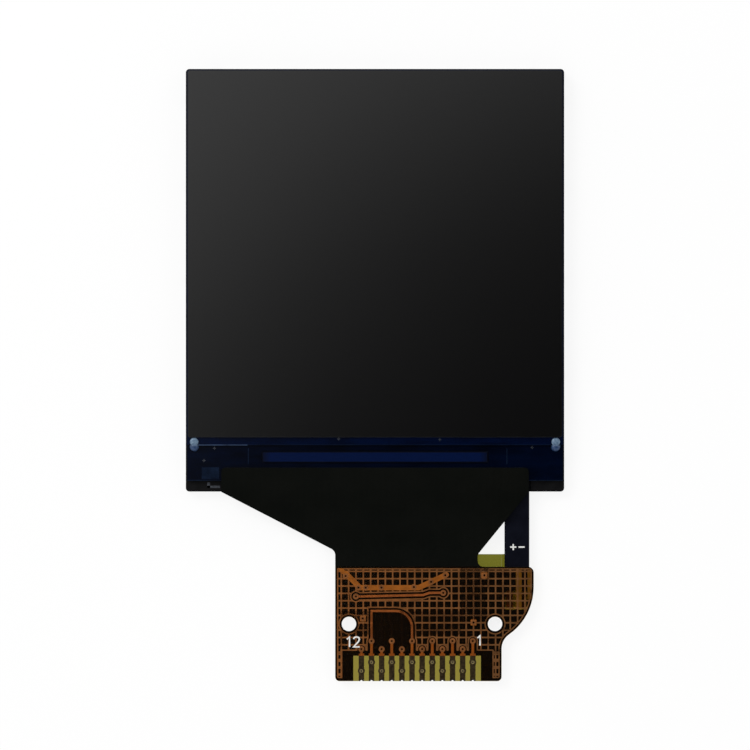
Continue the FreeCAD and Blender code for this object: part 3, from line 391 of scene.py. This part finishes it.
def silver_paste():
    """Dried silver paste, whiter on the upper glass and bluer on the ledge."""
    made, tree = material("silver_paste")
    upper = span(tree, coordinates(tree)[1], 0.0, 1.0, -11.50, -11.26)
    cloud = noise(tree, 7.0, 4.0)
    low = blend(tree, span(tree, cloud, 0, 1), rgb(0.007, 0.024, 0.075), rgb(0.022, 0.06, 0.15))
    high = blend(tree, span(tree, cloud, 0, 1), rgb(0.055, 0.11, 0.19), rgb(0.17, 0.25, 0.34))
    shader = principled(tree, Base_Color=blend(tree, upper, low, high), Roughness=0.34, Metallic=0.15,
                        Normal=bump(tree, cloud, 0.008))
    return finish_material(made, tree, shader.outputs[0])


def ink(name, colour):
    """Printed ink with slightly worn edges."""
    worn = tuple(c * 0.72 for c in colour)
    return surface(name, worn, colour, 6.0, (0.5, 0.65), 0.0, 0.002, 30.0)


MATERIALS = {
    "tray_steel": steel(),
    "frame_plastic": surface("frame_plastic", (0.002, 0.002, 0.0024), (0.0045, 0.0045, 0.005), 1.5,
                             (0.42, 0.55), 0.0, 0.004, 16.0, 0.08),
    "white_film": surface("white_film", (0.82, 0.82, 0.82), (0.9, 0.9, 0.9), 1.0, (0.5, 0.6)),
    "clear_plastic": surface("clear_plastic", (0.75, 0.78, 0.80), (0.85, 0.88, 0.90), 1.0, (0.1, 0.15)),
    "black_tape": surface("black_tape", (0.006, 0.006, 0.006), (0.012, 0.012, 0.012), 2.0, (0.5, 0.65)),
    "strip_film": surface("strip_film", (0.0014, 0.0018, 0.0045), (0.0028, 0.0036, 0.0085), 0.8,
                          (0.3, 0.42), 0.0, 0.0015, 12.0, 0.08),
    "gold_plating": gold(),
    "polarizer_film": polarizer(),
    "panel_glass": glass("panel_glass", (0.0003, 0.0008, 0.003), (0.0005, 0.0025, 0.012)),
    "chip_silicon": driver_silicon(),
    "bonding_film": surface("bonding_film", (0.0004, 0.0009, 0.003), (0.0007, 0.0018, 0.007), 3.0,
                            (0.35, 0.5), gloss=0.05),
    "silver_paste": silver_paste(),
    "polyimide_base": clear_film("polyimide_base", (0.28, 0.235, 0.042), 0.22, (0.30, 0.26, 0.05),
                                 0.006, 0.3),
    "black_cover_film": black_film(),
    "amber_cover_film": clear_film("amber_cover_film", (0.90, 0.62, 0.30), 0.24, gloss=0.2),
    "back_cover_film": back_film(),
    "copper": copper("copper", (0.165, 0.080, 0.046), (0.265, 0.136, 0.082)),
    "solder": surface("solder", (0.62, 0.62, 0.60), (0.92, 0.92, 0.90), 5.0, (0.18, 0.34), 0.95, 0.02),
    "yellow_tape": clear_film("yellow_tape", (0.14, 0.135, 0.010), 0.2, (0.50, 0.50, 0.13), 0.06,
                              painted_tint_below=(0.50, 0.53, 0.12)),
    "lamp_housing": surface("lamp_housing", (0.78, 0.78, 0.76), (0.88, 0.88, 0.86), 2.0, (0.4, 0.5)),
    "lamp_phosphor": surface("lamp_phosphor", (0.80, 0.62, 0.10), (0.92, 0.78, 0.22), 4.0, (0.4, 0.5)),
}
INK_WHITE = ink("white_ink", (0.85, 0.85, 0.82))
GROUND_COPPER = ground_copper()
POWER_COPPER = copper("power_copper", (0.26, 0.106, 0.023), (0.38, 0.160, 0.036))
LINK_COPPER = copper("link_copper", (0.26, 0.145, 0.135), (0.38, 0.215, 0.20))
BACK_COPPER = copper("back_copper", (0.030, 0.018, 0.011), (0.055, 0.032, 0.020))
VIA_GOLD = surface("via_gold", (0.12, 0.085, 0.03), (0.34, 0.26, 0.10), 5.0, (0.3, 0.4), 0.6, 0.003)
VIA_DARK = surface("via_mouth", (0.020, 0.014, 0.006), (0.050, 0.036, 0.015), 5.0, (0.4, 0.5))
TAPED_GOLD = surface("taped_gold", (0.78, 0.64, 0.07), (1.0, 0.95, 0.28), 4.5, (0.18, 0.34), 0.12,
                     0.03, 14.0)
# Painted light: a flat yellow in place of the tape shining through the film
PAINTED_SHINE_YELLOW = surface("lit_polyimide", (0.07, 0.054, 0.010), (0.12, 0.095, 0.018), 0.9, (0.4, 0.5))
FILTER_GLASS = glass("filter_glass", (0.0004, 0.0016, 0.008), (0.0006, 0.0044, 0.025))
# Painted highlight on the lit end of the filter glass's foot
PAINTED_EDGE_HIGHLIGHT = surface("lit_glass_edge", (0.006, 0.018, 0.050), (0.020, 0.050, 0.115), 1.1, (0.25, 0.4))
# Painted highlights on the panes' cut edges, and blue marks on the glass
HIGHLIGHT_AND_MARK_BLUE = surface("glass_marks", (0.0010, 0.0035, 0.011), (0.0035, 0.010, 0.028), 1.1, (0.25, 0.4),
                    gloss=0.08)
MARK_GREY = surface("grey_marks", (0.022, 0.026, 0.034), (0.060, 0.066, 0.080), 3.0, (0.3, 0.45), 0.4)

for row in frame["record"]["subparts"]:
    node = frame["nodes"][row["node"]]
    node.data.materials.clear()
    node.data.materials.append(MATERIALS[row["material_slot"]])
# Solids whose finish differs a little from the one that their slot names
for name, finish in (("colour_filter_glass", FILTER_GLASS), ("tail_link_track", LINK_COPPER),
                     ("tail_loop_track", LINK_COPPER), ("tail_back_tracks", BACK_COPPER)):
    frame["nodes"][name].data.materials[0] = finish


# Geometry helpers

def in_scene(name, data):
    """A new object in the scene."""
    made = bpy.data.objects.new(name, data)
    bpy.context.scene.collection.objects.link(made)
    return made


def from_millimetres(name, mesh, finish):
    """An object whose mesh was made in millimetres."""
    data = bpy.data.meshes.new(name)
    mesh.to_mesh(data)
    mesh.free()
    for vertex in data.vertices:
        vertex.co *= MM
    data.materials.append(finish)
    return in_scene(name, data)


def add_piece(name, mesh, finish, smooth=True, stands_for=()):
    """Puts closed shapes into the scene, riding on the one body."""
    bmesh.ops.recalc_face_normals(mesh, faces=mesh.faces[:])
    made = from_millimetres(name, mesh, finish)
    for polygon in made.data.polygons:
        polygon.use_smooth = smooth
    made.data.set_sharp_from_angle(angle=math.radians(60))
    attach(made, "root")
    for node_name in stands_for:
        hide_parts(node_name)


def join(mesh, here, ahead):
    """Faces between two loops of points, all the way round."""
    for a in range(len(here)):
        b = (a + 1) % len(here)
        mesh.faces.new([here[a], here[b], ahead[b], ahead[a]])


def ring(mesh, x, y, z, inner, outer, rise, sides=28):
    """A raised ring with rounded shoulders. A negative rise faces it down."""
    profile = [(inner, 0.0), (inner + 0.12 * (outer - inner), rise), (outer - 0.2 * (outer - inner), rise),
               (outer, 0.0)]
    rows = []
    for i in range(sides):
        turn = 2 * math.pi * i / sides
        rows.append([mesh.verts.new((x + r * math.cos(turn), y + r * math.sin(turn), z + h))
                     for r, h in profile])
    for i in range(sides):
        join(mesh, rows[i], rows[(i + 1) % sides])


def box(mesh, left, right, foot, top, low, high):
    """A plain block between six limits."""
    corners = [mesh.verts.new((x, y, z)) for z in (low, high) for x, y in
               ((left, foot), (right, foot), (right, top), (left, top))]
    for face in ((3, 2, 1, 0), (4, 5, 6, 7), (0, 1, 5, 4), (1, 2, 6, 5), (2, 3, 7, 6), (3, 0, 4, 7)):
        mesh.faces.new([corners[i] for i in face])


def ribbon(mesh, points, width, level, rise):
    """A rounded ridge along points of x and y. The function level gives the surface's height at a y."""
    spots = [Vector((x, y, 0)) for x, y in points]
    profile = [(-0.5, 0.0), (-0.30, 0.8), (0.0, 1.0), (0.30, 0.8), (0.5, 0.0)]
    rows = []
    for i, spot in enumerate(spots):
        into = (spots[i] - spots[i - 1]).normalized() if i else (spots[1] - spots[0]).normalized()
        out = (spots[i + 1] - spots[i]).normalized() if i + 1 < len(spots) else into
        mean = (into + out).normalized()
        side = Vector((-mean.y, mean.x, 0)) * (width / max(mean.dot(into), 0.5))
        rows.append([mesh.verts.new((spot.x + side.x * a, spot.y + side.y * a,
                                     level(spot.y + side.y * a) + rise * b)) for a, b in profile])
    for here, ahead in zip(rows, rows[1:]):
        join(mesh, here, ahead)
    mesh.faces.new(rows[0])
    mesh.faces.new(rows[-1])


def dome(mesh, x, y, z, radius, height, sides=28, steps=8):
    """A drop with steep sides and a flat foot."""
    rows = []
    for k in range(steps):
        lift = math.pi / 2 * k / steps
        reach = radius * math.cos(lift) ** 0.8
        turns = [2 * math.pi * i / sides for i in range(sides)]
        rows.append([mesh.verts.new((x + reach * math.cos(turn), y + reach * math.sin(turn),
                                     z + height * math.sin(lift))) for turn in turns])
    for here, ahead in zip(rows, rows[1:]):
        join(mesh, here, ahead)
    tip = mesh.verts.new((x, y, z + height))
    for i in range(sides):
        mesh.faces.new([rows[-1][i], rows[-1][(i + 1) % sides], tip])
    mesh.faces.new(rows[0])


def polarity(mesh, x, drop, reach, width, z, rise, plus):
    """A minus sign, or a plus."""
    y = below(drop)
    ribbon(mesh, [(x - reach, y), (x + reach, y)], width, flat(z), rise)
    if plus:
        ribbon(mesh, [(x, y - reach), (x, y + reach)], width, flat(z), rise)


def rounded(points, reach=0.22, steps=4):
    """Points of a line whose turns are rounded."""
    spots = [Vector(p) for p in points]
    made = [spots[0]]
    for before, here, after in zip(spots, spots[1:], spots[2:]):
        back, ahead = before - here, after - here
        start = here + back.normalized() * min(reach, back.length / 2)
        end = here + ahead.normalized() * min(reach, ahead.length / 2)
        for i in range(steps + 1):
            t = i / steps
            made.append(start.lerp(here, t).lerp(here.lerp(end, t), t))
    made.append(spots[-1])
    return made


def divided(points, length=0.25):
    """The same line with no run longer than a length."""
    made = [points[0]]
    for a, b in zip(points, points[1:]):
        count = max(1, math.ceil((b - a).length / length))
        made += [a.lerp(b, (i + 1) / count) for i in range(count)]
    return made


def bent(height):
    """The level, at any y, of a line of the tail at a height above the back of the base film."""
    fall = Z_BASE_ON_LEDGE - Z_BASE
    angle = 2 * math.atan2(fall, BEND_FIRST - BEND_LAST)
    radius = (BEND_FIRST - BEND_LAST) / (2 * math.sin(angle))
    middle = BEND_LAST + (radius - height) * math.sin(angle)

    def level(y):
        if y <= BEND_LAST:
            return Z_BASE + height
        if y >= BEND_FIRST:
            return Z_BASE_ON_LEDGE + height
        if y < middle:
            turn = math.asin((y - BEND_LAST) / (radius - height))
            return Z_BASE + radius - (radius - height) * math.cos(turn)
        turn = math.asin((BEND_FIRST - y) / (radius + height))
        return Z_BASE_ON_LEDGE - radius + (radius + height) * math.cos(turn)
    return level


def flat(z):
    """The same level at any y."""
    return lambda y: z


# The etched front copper, as fields over x and drop that are above zero in the copper

def far_from_line(x, drop, points):
    """Distance to a line through points."""
    nearest = np.full_like(x, 1e9)
    for (ax, ay), (bx, by) in zip(points, points[1:]):
        dx, dy = bx - ax, by - ay
        t = np.clip(((x - ax) * dx + (drop - ay) * dy) / (dx * dx + dy * dy), 0, 1)
        nearest = np.minimum(nearest, np.hypot(x - ax - t * dx, drop - ay - t * dy))
    return nearest


def corner_room(first, second, radius):
    """Room inside two edges that meet at a rounded corner."""
    inside = radius - np.hypot(np.maximum(radius - first, 0), np.maximum(radius - second, 0))
    return np.where((first < radius) & (second < radius), inside, np.minimum(first, second))


def outline_room(x, drop):
    """Room to the edge of the tail below its black film."""
    upper_x = WING_RIGHT - WING_RADIUS
    lower_x = TAIL_RIGHT + WING_FOOT_RADIUS
    reach = WING_RADIUS + WING_FOOT_RADIUS
    lower_drop = WING_TURN + math.sqrt(reach ** 2 - (lower_x - upper_x) ** 2)
    side = (lower_x - upper_x) * (drop - WING_TURN) - (lower_drop - WING_TURN) * (x - upper_x)
    convex = WING_RADIUS - np.hypot(x - upper_x, drop - WING_TURN)
    concave = np.hypot(x - lower_x, drop - lower_drop) - WING_FOOT_RADIUS
    right = np.where(drop < WING_TURN, WING_RIGHT - x, np.where(side < 0, convex, concave))
    right = np.where((side >= 0) & (drop > lower_drop), TAIL_RIGHT - x, right)
    left = corner_room(x - TAIL_LEFT, TAIL_DROP - drop, 0.3)
    right = np.where(drop < WING_TURN, corner_room(right, drop - BLACK_FILM_DROP, 0.3),
                     corner_room(right, TAIL_DROP - drop, 0.3))
    return np.minimum(left, right)


def space_room(x, drop):
    """Distance to the loop's middle line, below zero inside it in the copper-free space."""
    left, right = CONTACT_X[1], CONTACT_X[5]
    top, bend = TAIL_DROP - 4.85, 1.15
    corner = np.hypot(x - right + bend, drop - top - bend) - bend
    plain = np.maximum(np.maximum(left - x, x - right), top - drop)
    return np.where((x > right - bend) & (drop < top + bend), corner, plain)


def ground_room(x, drop):
    """Room inside the ground plane: to the tail's edge and to all that it stays clear of."""
    by_track, round_hole, round_land, by_contact = 0.21, 0.64, 0.32, 0.27
    left, right = TAIL_LEFT + 0.49, 8.12
    room = outline_room(x, drop) - EDGE_CLEARANCE
    room = np.minimum(room, space_room(x, drop) - by_track)
    room = np.minimum(room, far_from_line(x, drop, LINK_TRACK) - by_track)
    for hole_x, hole_drop in HOLES:
        room = np.minimum(room, np.hypot(x - hole_x, drop - hole_drop) - round_hole)
    for land_x, land_drop in (LINK_TRACK[0], LINK_TRACK[-1]):
        room = np.minimum(room, np.hypot(x - land_x, drop - land_drop) - round_land)
    for ring_x, top in staggered(UPPER_RING, LOWER_RING):
        room = np.minimum(room, far_from_line(x, drop, [(ring_x, top), (ring_x, 11.6)]) - by_contact)
    contacts = np.maximum(np.maximum(left - x, x - right), GROUND_END - drop)
    return np.minimum(np.minimum(room, contacts), GUARD_END - drop)


def near_grid(x, drop, width):
    """Room inside the lines of the mesh."""
    lines = [np.abs((place - phase + MESH_PITCH / 2) % MESH_PITCH - MESH_PITCH / 2)
             for place, phase in ((x, MESH_PHASE_X), (drop, MESH_PHASE_DROP))]
    return width / 2 - np.minimum(*lines)


def power_room(x, drop):
    """Room inside the broad power track, its lands and its vias' mouths."""
    track, stub, land = 0.18, 0.15, 0.20
    room = track - far_from_line(x, drop, POWER_TRACK)
    room = np.maximum(room, stub - far_from_line(x, drop, [(-2.35, 5.40), (-1.75, 5.95)]))
    for via_x, via_drop in LOOSE_VIAS:
        room = np.maximum(room, land - np.maximum(np.abs(x - via_x), np.abs(drop - via_drop)))
    for via_x, via_drop in POWER_VIAS + LOOSE_VIAS:
        away = np.hypot(x - via_x, drop - via_drop)
        room = np.minimum(np.maximum(room, land - away), away - VIA_MOUTH)
    return np.minimum(room, outline_room(x, drop) - EDGE_CLEARANCE)


def mesh_room(x, drop):
    """Room inside the copper of the mesh: its lines and its rims."""
    line, rim_width, rung_pitch = 0.10, 0.085, 0.48
    room = ground_room(x, drop)
    rim = rim_width - room
    rungs = line / 2 - np.abs((drop - GROUND_END) % rung_pitch - rung_pitch / 2)
    web = np.maximum(near_grid(x, drop, line), np.where(drop > GROUND_END, rungs, -1.0))
    for via_x, via_drop in POWER_VIAS + LOOSE_VIAS:
        web = np.minimum(web, np.hypot(x - via_x, drop - via_drop) - VIA_MOUTH)
    return np.minimum(room, np.maximum(rim, web))


def etched(name, field, step, low, high, finish, stands_for=()):
    """A flat etched sheet between two levels, cut along the zero line of a field."""
    xs = np.arange(TAIL_LEFT - step / 3, WING_RIGHT + step, step)
    drops = np.arange(BLACK_FILM_DROP, TAIL_DROP + step, step)
    values = field(*np.meshgrid(xs, drops))
    mesh = bmesh.new()
    found = {}

    def spot(key, x, drop):
        if key not in found:
            found[key] = mesh.verts.new((x, below(drop), low))
        return found[key]

    around = ((0, 0), (1, 0), (1, 1), (0, 1))
    for row in range(len(drops) - 1):
        for column in range(len(xs) - 1):
            corners = [(row + r, column + c) for r, c in around]
            levels = [values[corner] for corner in corners]
            if max(levels) <= 0:
                continue
            face = []
            for i, (r, c) in enumerate(corners):
                r2, c2 = corners[(i + 1) % 4]
                here, there = levels[i], levels[(i + 1) % 4]
                if here > 0:
                    face.append(spot((r, c), xs[c], drops[r]))
                if (here > 0) != (there > 0):
                    t = here / (here - there)
                    key = (min(r, r2), min(c, c2), "down" if c == c2 else "across")
                    face.append(spot(key, xs[c] + t * (xs[c2] - xs[c]),
                                     drops[r] + t * (drops[r2] - drops[r])))
            mesh.faces.new(face)
    raised = bmesh.ops.extrude_face_region(mesh, geom=mesh.faces[:])["geom"]
    for part in raised:
        if isinstance(part, bmesh.types.BMVert):
            part.co.z = high
    add_piece(name, mesh, finish, smooth=False, stands_for=stands_for)


# Detail pieces

def land_rings():
    """Round lands of the vias under the amber film."""
    mesh = bmesh.new()
    ends = [LINK_TRACK[0], LINK_TRACK[-1]]
    for x, drop in POWER_VIAS + LOOSE_VIAS + ends + staggered(UPPER_RING, LOWER_RING):
        ring(mesh, x, below(drop), Z_COPPER_TOP, 0.075, 0.205, 0.005)
    add_piece("via_lands", mesh, MATERIALS["copper"])


def window_stripes():
    """Two stripes of the wing without copper behind them, painted flat yellow as painted light for the
    yellow tape shining through.
    """
    mesh = bmesh.new()
    for left, right, start, end in ((9.74, 10.14, 5.30, 8.10), (10.54, 10.82, 5.42, 7.45)):
        box(mesh, left, right, below(end), below(start), Z_COPPER_TOP - 0.014, Z_COPPER_TOP - 0.012)
    add_piece("wing_stripes", mesh, PAINTED_SHINE_YELLOW, smooth=False)


def pad_rings(front):
    """Raised rims of the plated vias in the contacts, with round lands under them."""
    mesh = bmesh.new()
    name, z, out = ("front_pad_rims", Z_COPPER_TOP, 1) if front else ("back_pad_rims", Z_BACK_COPPER, -1)
    for x, drop in staggered(UPPER_VIA, LOWER_VIA):
        ring(mesh, x, below(drop), z, 0.078, 0.245, 0.003 * out)
        ring(mesh, x, below(drop), z + 0.003 * out, 0.078, 0.135, 0.008 * out)
    add_piece(name, mesh, MATERIALS["gold_plating"])


def via_mouths():
    """The dull gold mouths of the plated vias on the front."""
    mesh = bmesh.new()
    for x, drop in staggered(UPPER_VIA, LOWER_VIA):
        ring(mesh, x, below(drop), Z_COPPER_TOP + 0.010, 0.070, 0.118, 0.005)
    add_piece("via_mouths", mesh, VIA_GOLD)


def via_plugs():
    """The plating that closes the narrow vias half way down."""
    mesh = bmesh.new()
    for x, drop in staggered(UPPER_VIA, LOWER_VIA):
        place = Matrix.Translation((x, below(drop), Z_BASE + 0.02))
        bmesh.ops.create_cone(mesh, cap_ends=True, segments=16, radius1=0.10, radius2=0.10, depth=0.01,
                              matrix=place)
    add_piece("via_plugs", mesh, VIA_DARK, smooth=False)


def paste_domes():
    """The two drops of silver paste, each with a lobe on either glass."""
    mesh = bmesh.new()
    for x in (-12.46, 12.46):
        for y, z, radius, height in ((-11.16, Z_FILTER_TOP, 0.30, 0.10), (-11.50, Z_LEDGE, 0.32, 0.27)):
            dome(mesh, x, y, z, radius, height)
    add_piece("paste_domes", mesh, MATERIALS["silver_paste"],
              stands_for=["ground_paste_dots"])


def lit_edge():
    """A painted highlight on the left end of the filter glass's foot, where it catches the light."""
    mesh = bmesh.new()
    box(mesh, -12.20, -8.80, -11.40, -11.345, Z_FILTER_TOP - INLAY, Z_FILTER_TOP + PROUD)
    add_piece("lit_glass_edge", mesh, PAINTED_EDGE_HIGHLIGHT, smooth=False)


def glass_lines():
    """Painted highlights along the cut edges of the two panes, the guide lines beside the chip, and a
    faint bluish patch on the ledge.
    """
    mesh = bmesh.new()
    # Painted highlights along the panes' cut edges
    box(mesh, -8.80, 12.20, -11.375, -11.350, Z_FILTER_TOP - INLAY, Z_FILTER_TOP + PROUD)
    box(mesh, -12.95, -10.65, -13.84, -13.79, Z_LEDGE - INLAY, Z_LEDGE + PROUD)
    box(mesh, 10.65, 12.95, -13.84, -13.79, Z_LEDGE - INLAY, Z_LEDGE + PROUD)
    for x in (-8.74, 9.10):
        box(mesh, x - 0.03, x + 0.03, -12.70, -11.62, Z_LEDGE, Z_LEDGE + PROUD)
    box(mesh, -11.95, -10.75, -13.72, -12.92, Z_LEDGE, Z_LEDGE + 0.0015)
    add_piece("glass_lines", mesh, HIGHLIGHT_AND_MARK_BLUE, smooth=False)


def glass_marks():
    """Small grey alignment marks on the panes."""
    mesh = bmesh.new()
    crosses = [(-2.50, -10.95, Z_FILTER_TOP), (4.47, -11.0, Z_FILTER_TOP), (-11.80, -12.45, Z_LEDGE),
               (-11.07, -11.60, Z_LEDGE), (10.84, -11.55, Z_LEDGE)]
    for x, y, z in crosses:
        box(mesh, x - 0.10, x + 0.10, y - 0.025, y + 0.025, z, z + 0.003)
        box(mesh, x - 0.025, x + 0.025, y - 0.10, y + 0.10, z, z + 0.003)
    for right, top in ((-10.72, -14.20), (-11.40, -13.98)):
        box(mesh, -11.60, right, -14.36, top, Z_CORNER_MARK - PROUD, Z_CORNER_MARK + PROUD)
    add_piece("glass_marks", mesh, MARK_GREY, smooth=False)


def printed_marks():
    """Contact numbers and polarity signs in white ink."""
    mesh = bmesh.new()
    one = [(0.02, 0.52), (0.20, 0.68), (0.20, 0.0)]
    two = [(0.0, 0.54), (0.05, 0.64), (0.20, 0.69), (0.36, 0.64), (0.40, 0.51), (0.34, 0.37), (0.0, 0.0),
           (0.42, 0.0)]
    for strokes, x, drop in ((one, -1.96, 10.73), (two, -1.48, 10.73), (one, 7.06, 10.64)):
        line = [(x + a, below(drop) + b) for a, b in strokes]
        ribbon(mesh, line, 0.105, flat(Z_AMBER_TOP), 0.004)
    for x, plus in ((9.56, True), (10.14, False)):
        polarity(mesh, x, 3.84, 0.21, 0.10, Z_STRIP_TOP, 0.004, plus)
    add_piece("printed_marks", mesh, INK_WHITE)


def ridges():
    """Relief of the back conductors in the dark cover film."""
    mesh = bmesh.new()
    # Each line's points are of x and drop. Those of the middle start under the dark zone at the film's top
    start = 2.3
    lines = [[(5.07, start), (5.07, 5.1)],
             [(4.05, start), (4.05, 5.1), (4.86, 6.5), (4.66, 7.1), (4.66, 10.7)],
             [(3.38, start), (3.38, 5.3), (4.10, 6.4)],
             [(3.02, start), (3.02, 5.4), (3.70, 6.35)],
             [(2.74, start), (2.74, 5.6), (3.30, 6.3)],
             [(2.25, start), (2.25, 5.9), (2.70, 6.5), (2.30, 7.2)],
             [(2.03, start), (2.03, 6.0), (2.45, 6.6), (2.10, 7.2)],
             [(1.59, start), (1.59, 6.1), (2.10, 6.9), (1.86, 7.5), (1.86, 10.9)],
             [(1.24, start), (1.24, 10.3)], [(0.94, start), (0.94, 10.9)],
             [(0.70, start), (0.70, 7.9), (0.46, 8.4), (0.46, 10.9)],
             [(0.0, start), (0.0, 7.6), (0.46, 8.2)], [(-0.29, start), (-0.29, 10.3)],
             [(-2.9, 1.2), (-1.6, 2.4), (-1.28, 3.4), (-1.28, 7.2)],
             [(-3.3, 1.5), (-2.15, 2.5), (-1.82, 3.5), (-1.82, 5.4)],
             [(2.6, 6.95), (4.05, 6.95), (4.35, 7.25), (4.35, 10.4)],
             [(2.3, 7.2), (3.7, 7.2), (3.96, 7.45), (3.96, 10.9)],
             [(3.26, 7.5), (3.26, 10.4)], [(2.56, 7.6), (2.56, 10.9)], [(2.22, 7.5), (2.22, 10.4)],
             [(8.9, 6.42), (5.66, 6.42), (5.36, 6.72), (5.36, 10.4)],
             [(8.7, 7.2), (6.36, 7.2), (6.06, 7.5), (6.06, 10.9)],
             [(8.6, 6.8), (6.9, 6.8)], [(8.35, 10.9), (8.35, 12.9)],
             [(-0.94, 9.0), (-0.94, 10.9)], [(6.76, 8.6), (6.76, 10.4)]]
    level = bent(Z_BACK_FILM - Z_BASE)
    for line in lines:
        points = [Vector((x, below(drop))) for x, drop in line]
        ribbon(mesh, divided(rounded(points)), 0.22, level, -0.026)
    bumps = [(-1.28, 7.4), (1.98, 7.75), (-1.05, 6.0), (4.86, 5.78), (3.88, 6.24)]
    for x, drop in bumps + staggered(UPPER_RING, LOWER_RING):
        ring(mesh, x, below(drop), Z_BACK_FILM, 0.05, 0.24, -0.026)
    add_piece("back_relief", mesh, MATERIALS["back_cover_film"])


def back_signs():
    """Polarity signs beside the lamp pads, etched like the conductors."""
    mesh = bmesh.new()
    for x, plus in ((8.42, False), (7.74, True)):
        polarity(mesh, x, 5.75, 0.24, 0.11, Z_BACK_FILM, -0.006, plus)
    add_piece("polarity_signs", mesh, MATERIALS["gold_plating"])


def taped_joints():
    """The two solder joints of the lamps as they press through the tape."""
    mesh = bmesh.new()
    for x in (10.18, 9.31):
        for start, end, width in ((5.10, 5.95, 0.42), (5.85, 6.88, 0.47), (7.02, 7.95, 0.45)):
            points = [(x + 0.02 * (-1) ** i, below(start + (end - start) * i / 6)) for i in range(7)]
            ribbon(mesh, points, width, flat(Z_TAPE_BACK), -0.030)
    add_piece("taped_joints", mesh, TAPED_GOLD)


etched("ground_mesh", mesh_room, MESH_PITCH / 10, Z_COPPER_TOP - 0.015, Z_COPPER_TOP, GROUND_COPPER,
       stands_for=["tail_ground_mesh"])
etched("power_track", power_room, 0.04, Z_COPPER_TOP - 0.010, Z_COPPER_TOP + 0.002, POWER_COPPER)
window_stripes()
land_rings()
pad_rings(True)
pad_rings(False)
via_mouths()
via_plugs()
paste_domes()
lit_edge()
glass_lines()
glass_marks()
printed_marks()
ridges()
back_signs()
taped_joints()


# Floor, light and camera

def floor():
    """A pale floor. It lets light and views through from below, so that the back can be seen."""
    mesh = bmesh.new()
    reach, level = 1500, -0.02
    mesh.faces.new([mesh.verts.new((x, y, level)) for x, y in
                    ((-reach, -reach), (reach, -reach), (reach, reach), (-reach, reach))])
    finish, tree = material("floor_paper")
    path = add(tree, "LightPath").outputs
    grain = noise(tree, 0.02, 3.0)
    paper = add(tree, "BsdfDiffuse", {"Color": blend(tree, grain, rgb(0.14, 0.14, 0.14),
                                                     rgb(0.15, 0.15, 0.15))}).outputs[0]
    shown = maths(tree, "MULTIPLY", path["Is Camera Ray"], 0.85)
    glow = add(tree, "Emission", {"Color": rgb(1, 1, 1), "Strength": shown}).outputs[0]
    top = add(tree, "AddShader", {0: paper, 1: glow}).outputs[0]
    clear = add(tree, "BsdfTransparent", {"Color": rgb(1, 1, 1)}).outputs[0]
    back = add(tree, "NewGeometry").outputs["Backfacing"]
    gone = maths(tree, "MAXIMUM", maths(tree, "MAXIMUM", back, path["Is Shadow Ray"]),
                 path["Is Glossy Ray"])
    finish_material(finish, tree, add(tree, "MixShader", {0: gone, 1: top, 2: clear}).outputs[0])
    from_millimetres("floor", mesh, finish)


def studio():
    """An even pale studio with one dark flag above and one below, which shade the glossy faces."""
    # Each flag's direction, and the angles from it in degrees where it is full and where it ends
    flags = [((0.216, -0.216, 1.0), 12.0, 26.0), ((-0.58, -0.225, -1.0), 29.5, 35.8)]
    world = bpy.data.worlds.new("studio")
    bpy.context.scene.world = world
    world.use_nodes = True
    tree = world.node_tree
    tree.nodes.clear()
    direction = add(tree, "TexCoord").outputs["Generated"]
    level = 0.9
    for towards, inner, outer in flags:
        axis = Vector(towards).normalized()
        near = add(tree, "VectorMath", {0: direction, 1: axis}, operation="DOT_PRODUCT").outputs["Value"]
        open_sky = add(tree, "MapRange", {"Value": near, "From Min": math.cos(math.radians(outer)),
                                          "From Max": math.cos(math.radians(inner)), "To Min": 1.0,
                                          "To Max": 0.0}, interpolation_type="SMOOTHSTEP").outputs[0]
        level = maths(tree, "MULTIPLY", maths(tree, "MULTIPLY", open_sky, open_sky), level)
    seen = add(tree, "LightPath").outputs["Is Camera Ray"]
    lit = add(tree, "Background", {"Color": rgb(1, 1, 1), "Strength": level}).outputs[0]
    white = add(tree, "Background", {"Color": rgb(1, 1, 1), "Strength": 1.0}).outputs[0]
    mixed = add(tree, "MixShader", {0: seen, 1: lit, 2: white}).outputs[0]
    tree.links.new(mixed, add(tree, "OutputWorld").inputs["Surface"])


def softbox(name, place, aim, size, power):
    """A square lamp, its places and size in metres and its power in watts."""
    lamp = bpy.data.lights.new(name, "AREA")
    lamp.shape = "SQUARE"
    lamp.size = size
    lamp.energy = power
    made = in_scene(name, lamp)
    made.location = Vector(place)
    made.rotation_mode = "QUATERNION"
    made.rotation_quaternion = (Vector(aim) - Vector(place)).to_track_quat("-Z", "Y")


def camera():
    """Straight down on the display, upright as in the photograph."""
    picture, pixels_per_mm, middle = 750, 14.4, -6.55
    data = bpy.data.cameras.new("camera")
    data.sensor_width = 36.0
    data.lens = 120.0
    data.clip_start = 0.01
    data.clip_end = 10.0
    made = in_scene("camera", data)
    shown = picture / pixels_per_mm * MM
    made.location = (0.0, middle * MM, shown * data.lens / data.sensor_width)
    bpy.context.scene.camera = made


floor()
studio()
softbox("key_light", (-0.22, 0.20, 0.30), (0, -0.005, 0), 0.16, 0.6)
softbox("back_light", (0.20, 0.08, -0.32), (0, -0.010, 0), 0.26, 1.3)
camera()
bpy.context.scene.view_settings.view_transform = "Standard"
